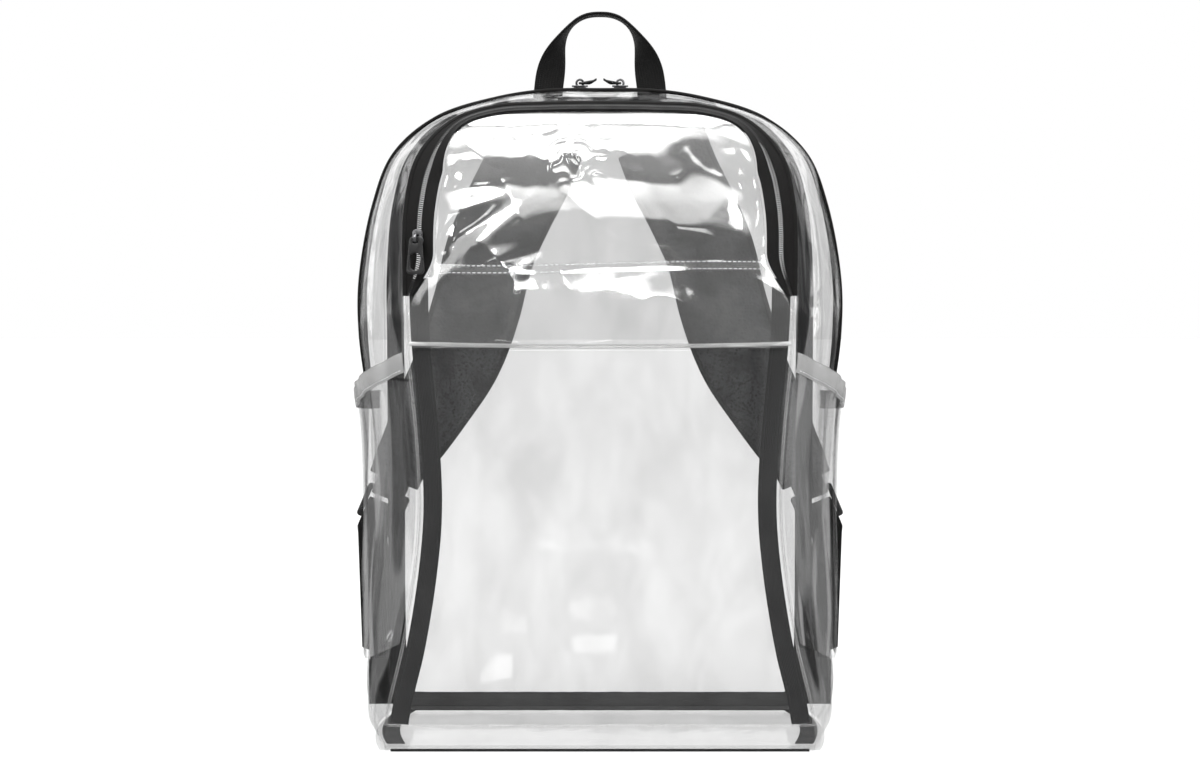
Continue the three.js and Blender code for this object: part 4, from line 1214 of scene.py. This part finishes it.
def rounded_loop(width, bottom, top, radius, steps=6):
    """A rounded rectangle of (x, y) points, counter-clockwise."""
    corners = [
        (width / 2 - radius, bottom + radius, -90),
        (width / 2 - radius, top - radius, 0),
        (-width / 2 + radius, top - radius, 90),
        (-width / 2 + radius, bottom + radius, 180),
    ]
    points = []
    for cx, cy, start in corners:
        for k in range(steps + 1):
            angle = math.radians(start + 90 * k / steps)
            points.append((cx + radius * math.cos(angle), cy + radius * math.sin(angle)))
    return points


def basis(x_axis, y_axis, z_axis, origin):
    matrix = Matrix.Identity(4)
    for column, axis in enumerate((x_axis, y_axis, z_axis, origin)):
        for row in range(3):
            matrix[row][column] = float(axis[row])
    return matrix


def ladder_lock():
    slot = WEBBING_WIDTH + 4 * GAP
    outline = rounded_loop(LOCK_WIDTH, -LOCK_BAR / 2, LOCK_HEIGHT - LOCK_BAR / 2, 2.5 * MM)
    upper = rounded_loop(slot, LOCK_BAR / 2, LOCK_BAR / 2 + LOCK_UPPER_SLOT, 1.2 * MM)
    low = 1.5 * LOCK_BAR + LOCK_UPPER_SLOT
    lower = rounded_loop(slot, low, low + LOCK_LOWER_SLOT, 1.2 * MM)
    return plate(
        "left_ladder_lock_look", outline, [upper, lower], LOCK_THICKNESS, 0.9 * MM,
        basis(LOCK_ACROSS, END_ALONG, LOCK_OFF, LOCK_ORIGIN))


def strap_anchor():
    side = WEBBING_WIDTH / 2 + 1 * MM
    foot = 5 * MM - ANCHOR_HEIGHT
    loop = [(-side, foot), (side + ANCHOR_FLARE, foot), (side, 6 * MM), (-side, 6 * MM)]
    origin = (ANCHOR_X, ANCHOR_FACE - ANCHOR_THICKNESS / 2, ANCHOR_HEIGHT)
    place = basis((1, 0, 0), (0, 0, 1), (0, -1, 0), origin)
    return plate("left_strap_anchor_look", loop, [], ANCHOR_THICKNESS, 0.4 * MM, place)


# Zip sliders and pulls, in a frame with X across the zip, Y the way the pull lies and Z off it

SLIDER_THICKNESS = 3 * MM
PULL_THICKNESS = 1.8 * MM
PULL_BAR = 1.8 * MM
BAIL_RADIUS = 3.4 * MM
BAIL_THICKNESS = 2.4 * MM
PIVOT_HEIGHT = COIL_PROUD + GAP + SLIDER_THICKNESS + PULL_THICKNESS / 2 + 0.5 * MM


def slider(name, place):
    """Two waisted plates joined by a neck, with an arched bail on top."""
    waist = []
    for k in range(48):
        angle = 2 * math.pi * k / 48
        y = 6.0 * MM * math.sin(angle)
        x = 4.4 * MM * math.copysign(abs(math.cos(angle)) ** 0.6, math.cos(angle))
        waist.append((x * (1 - 0.22 * math.exp(-((y + 1.5 * MM) / (2.4 * MM)) ** 2)), y))
    neck = rounded_loop(4.0 * MM, -4.6 * MM, 4.6 * MM, 1.5 * MM)
    plates = ((waist, 2.2, 1.3, 0.35), (waist, 0.5, 1.0, 0.3), (neck, 1.4, 1.6, 0.2))
    parts = []
    for outline, height, thickness, bevel in plates:
        lift = Matrix.Translation((0, 0, COIL_PROUD + GAP + height * MM))
        parts.append(plate(name + "_plate", outline, [], thickness * MM, bevel * MM, place @ lift))
    angles = [2 * math.pi * k / 40 for k in range(40)]
    outer = [(BAIL_RADIUS * math.cos(angle), BAIL_RADIUS * math.sin(angle)) for angle in angles]
    inner = [(0.52 * x, 0.52 * y) for x, y in outer]
    turned = place @ Matrix.Translation((0, 0, PIVOT_HEIGHT)) @ Matrix.Rotation(math.pi / 2, 4, "Y")
    parts.append(plate(name + "_bail", outer, [inner], BAIL_THICKNESS, 0.45 * MM, turned))
    return dress(join(name, parts), METAL)


def pull(name, width, length, grip_width, grip_length, place, curl=0.0):
    """A moulded tab with a slot for the bail and a grip hole, curled up at its tip."""
    tip = length - PULL_BAR / 2
    outline = []
    for x, y in rounded_loop(width, -PULL_BAR / 2, tip, min(width, length) * 0.22, 8):
        outline.append((x * mix(0.72, 1.0, float(smooth(y, 0.0, length * 0.4))), y))
    slot = rounded_loop(BAIL_THICKNESS + 1.0 * MM, PULL_BAR / 2, BAIL_RADIUS + 0.4 * MM, 0.5 * MM)
    grip_end = tip - (width - grip_width) / 2
    grip = rounded_loop(grip_width, grip_end - grip_length, grip_end, min(grip_width, grip_length) * 0.45, 8)
    tab = plate(name, outline, [slot, grip], PULL_THICKNESS, 0.6 * MM, Matrix.Identity(4))
    for vertex in tab.data.vertices:
        vertex.co.z += curl * float(smooth(vertex.co.y, 0.5 * length, length)) + PIVOT_HEIGHT
    tab.data.transform(place)
    return tab


def zip_frame(origin, lie, off):
    across = unit(np.cross(lie, off))
    normal = unit(np.cross(across, lie))
    return basis(across, unit(lie), normal, origin)


def build_sliders():
    station = station_at(FRONT, POCKET_SLIDER_HEIGHT)
    lie = pocket_tape(0.5, station - 0.004) - pocket_tape(0.5, station + 0.004)
    place = zip_frame(pocket_tape(0.5, station), lie, pocket_tape_normal(station))
    slider("pocket_zip_slider_look", place)
    tab = pull("pocket_zip_pull_look", 13 * MM, 26 * MM, 7.5 * MM, 12 * MM, place)
    dress(tab, MOULDED, body="pocket_pull")
    shares = np.linspace(0.3, 0.5, 4000)
    station = np.interp(-MAIN_SLIDER_X, gusset(MAIN_ZIP_LINE, shares)[:, 0], shares)
    for side, sign, at in (("left", -1, station), ("right", 1, 1 - station)):
        off = gusset_normal(MAIN_ZIP_LINE, at)
        place = zip_frame(gusset(MAIN_ZIP_LINE, at), np.array([-sign, 0.0, 0.0]), off)
        slider(f"main_zip_slider_{side}_look", place)
        tab = pull(f"main_zip_pull_{side}_look", 11 * MM, 13.5 * MM, 6.5 * MM, 5.5 * MM, place, 3 * MM)
        dress(tab, MOULDED, body=f"{side}_main_pull")


# Assembly

def build_film():
    for make in (front_lower, front_upper, back_panel):
        dress(make(), FRONT_FILM)
    dress(base_panel(), BASE_FILM)
    dress(front_pocket(), POCKET_FILM)
    dress(pocket_seam_band(), WELD_FILM)
    dress(pocket_seam_stitches(), CLEAR_THREAD)
    # The rolled fold is real; its whitish haze is partly painted highlight.
    fold = level_welt("pocket_fold_welt", POCKET_SEAM_HEIGHT + 5 * MM, 1.6 * MM, 1.5 * MM, -2 * MM)
    dress(fold, FOLD_FILM)
    dress(level_welt("boot_weld", BOOT_HEIGHT, 0.6 * MM, 0.9 * MM), WELD_FILM)
    dress_pair(front_seam_welt(), WELD_FILM)
    beside = MAIN_TAPE_WIDTH / 2 + GAP
    seams = (front_edge_share, back_edge_share)
    side = gusset_patch("left_side_gusset", *seams, (0.0, MAIN_ZIP_END), (130, 90), 1.8 * MM, 61)
    dress_pair(side, GUSSET_FILM)
    top = gusset_patch("top_gusset", seams[0], zip_share(-beside), MAIN_REACH, (260, 60), 2.0 * MM, 65)
    dress(top, GUSSET_FILM)
    rear = gusset_patch("rear_gusset", zip_share(beside), seams[1], MAIN_REACH, (260, 14), 0.6 * MM, 69)
    dress(rear, GUSSET_FILM)
    dress_pair(side_pocket(), SIDE_FILM)
    dress_pair(side_hem(), HEM_FILM)
    dress_pair(hem_stitches(), CLEAR_THREAD)


def build_bindings():
    boot = station_at(FRONT, BOOT_HEIGHT + 2 * MM)
    end = station_at(FRONT, POCKET_ZIP_END_HEIGHT + 12 * MM)
    front = seam_binding("left_front_seam_binding_look", FRONT, boot, end, 220, 1)
    dress_pair(front, BINDING_TAPE)
    stitching = binding_stitches("left_front_binding_stitches", FRONT, boot, end, 1, 500)
    dress_pair(stitching, THREAD)
    foot = station_at(BACK, BINDING_WIDTH + 6 * MM)
    dress(seam_binding("back_seam_binding_look", BACK, foot, 1 - foot, 500, -1), BINDING_TAPE)
    dress(binding_stitches("back_binding_stitches", BACK, foot, 1 - foot, -1, 1500), THREAD)
    # The back base band is dressed in the binding tape painted lighter.
    dress(back_base_binding(), BINDING_TAPE_PAINTED_LIGHTER)
    dress_pair(base_side_binding(), BINDING_TAPE)
    # Painted shadow: a thin black roll inside the front of the base, on the floor, stands in for the contact
    # shadow along the bottom edge.
    reach = abs(at_height(FRONT, JUST_ABOVE_FOOT)[0]) - 4 * MM
    x = np.linspace(-reach, reach, 120)
    edge = np.column_stack([x, np.full_like(x, FRONT_Y + 9 * MM), np.full_like(x, 1.2 * MM)])
    dress(welt("painted_contact_shadow_line", edge, 1.0 * MM, 0.8), BINDING_TAPE)


def build_straps():
    dress(haul_loop(), WEBBING)
    for pad in dress_pair(shoulder_strap(), PADDING):
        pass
    dress_pair(strap_edge_binding(), BINDING_TAPE)
    dress_pair(strap_end_loop(), WEBBING)
    dress_pair(lower_webbing(), WEBBING)
    dress_pair(ladder_lock(), MOULDED)
    dress_pair(strap_anchor(), WEBBING)


build_film()
build_bindings()
build_zips()
build_sliders()
build_straps()


# Studio

CAMERA_HEIGHT = 346 * MM
CAMERA_DISTANCE = 1500 * MM
FOCAL_PIXELS = 2160
IMAGE_WIDTH = 1200
CAMERA_TILT = 3.25


def build_camera():
    data = bpy.data.cameras.new("camera")
    data.sensor_width = 36
    data.lens = FOCAL_PIXELS / IMAGE_WIDTH * data.sensor_width
    camera = add_object("camera", data)
    camera.location = (0, FRONT_Y - CAMERA_DISTANCE, CAMERA_HEIGHT)
    camera.rotation_euler = (math.pi / 2 - math.radians(CAMERA_TILT), 0, 0)
    bpy.context.scene.camera = camera


# Bright and mid panels of the studio, as reflections see them: the azimuth from the front and the
# elevation of the middle in degrees, half the width and half the height, the soft edge, the strength.
STUDIO_PANELS = [
    (0, 45, 60, 12, 10, 2.2),
    (-52, 10, 5, 34, 4, 2.4),
    (57, 8, 4, 36, 4, 2.4),
    (-76, 15, 3, 50, 3, 1.5),
    (79, 15, 4, 50, 3, 1.5),
    (-96, 15, 5, 50, 4, 1.2),
    (98, 15, 3, 50, 3, 1.4),
    (-117, 15, 4, 50, 4, 1.3),
    (115, 15, 5, 50, 4, 1.2),
    (-136, 15, 6, 50, 4, 1.1),
    (139, 15, 5, 50, 4, 1.1),
    (180, 10, 26, 80, 8, 1.0),
    (-180, 10, 26, 80, 8, 1.0),
    (-24, 12, 3, 5, 2, 3.0),
    (17, 14, 4, 3, 2, 3.0),
]
ROOM_TONE = 0.34


def build_world():
    """White to the camera. Reflections see a dim room with soft bright panels."""
    world = bpy.data.worlds.new("studio")
    bpy.context.scene.world = world
    nodes = Nodes(world)
    nodes.tree.nodes.clear()
    split = nodes.add("SeparateXYZ", {"Vector": nodes.add("TexCoord").outputs["Generated"]})
    forward = nodes.times(split.outputs["Y"], -1.0)
    azimuth = nodes.times(nodes.math("ARCTAN2", split.outputs["X"], forward), 180 / math.pi)
    elevation = nodes.times(nodes.math("ARCSINE", split.outputs["Z"]), 180 / math.pi)

    def pulse(value, centre, half, soft):
        """1 within half of the centre, falling to 0 over soft."""
        distance = nodes.math("ABSOLUTE", nodes.math("SUBTRACT", value, centre))
        return nodes.ramp(distance, half, half + soft, 1.0, 0.0)

    room = 0.0
    for turn, height, half_width, half_height, soft, strength in STUDIO_PANELS:
        across = pulse(azimuth, turn, half_width, soft)
        panel = nodes.times(across, pulse(elevation, height, half_height, soft))
        room = nodes.math("MAXIMUM", room, nodes.times(panel, strength))
    lit = nodes.add("Background", {"Color": nodes.grey(nodes.plus(room, ROOM_TONE))})
    white = nodes.add("Background", {"Color": (1, 1, 1, 1)})
    nodes.add("OutputWorld", {"Surface": nodes.by_ray(white, lit)})


def area_light(name, location, target, size, power, spread=180):
    data = bpy.data.lights.new(name, "AREA")
    data.spread = math.radians(spread)
    data.shape = "RECTANGLE"
    data.size, data.size_y = size
    data.energy = power
    light = add_object(name, data)
    light.location = location
    aim = Vector(target) - Vector(location)
    light.rotation_euler = aim.to_track_quat("-Z", "Y").to_euler()
    light.visible_camera = False


def build_lights():
    area_light("key", (-0.8, -1.2, 1.5), (0, 0, 0.25), (0.8, 0.5), 14)
    area_light("fill", (1.4, -1.0, 0.9), (0, 0, 0.25), (0.4, 1.0), 7)
    area_light("top", (0.0, -0.1, 1.7), (0, 0, 0.3), (1.2, 0.8), 12)
    area_light("low_band", (0.03, -1.09, 0.11), (0.03, -0.09, 0.397), (0.32, 0.24), 0.04, spread=18)
    area_light("low_square", (-0.078, -0.195, 0.032), (-0.078, -0.075, 0.041), (0.018, 0.019), 0.003)
    area_light("low_cloud", (-0.004, -0.195, 0.050), (-0.004, -0.075, 0.059), (0.03, 0.012), 0.003)


def build_floor():
    """Near white to the camera, with a soft contact shadow. Reflections see it mid grey."""
    x, y = np.meshgrid(np.linspace(-6, 6, 2), np.linspace(-4, 8, 2), indexing="ij")
    points = xyz(x, y, np.full_like(x, -0.0005))
    floor = sheet("floor", points, 0.01, (0, 0, 1))
    material, nodes, shader = node_material("floor")
    nodes.feed(shader, {
        "Base Color": (0.26, 0.26, 0.26, 1),
        "Roughness": 0.9,
        "Emission Color": (1, 1, 1, 1),
        "Emission Strength": 0.74,
    })
    dim = nodes.add("Emission", {"Color": (0.4, 0.4, 0.4, 1)})
    nodes.feed(nodes.tree.nodes["Material Output"], {"Surface": nodes.by_ray(shader, dim)})
    floor.data.materials.append(material)


build_camera()
build_world()
build_lights()
build_floor()

scene = bpy.context.scene
scene.view_settings.view_transform = "Standard"
scene.cycles.transparent_max_bounces = 64
scene.cycles.max_bounces = 10
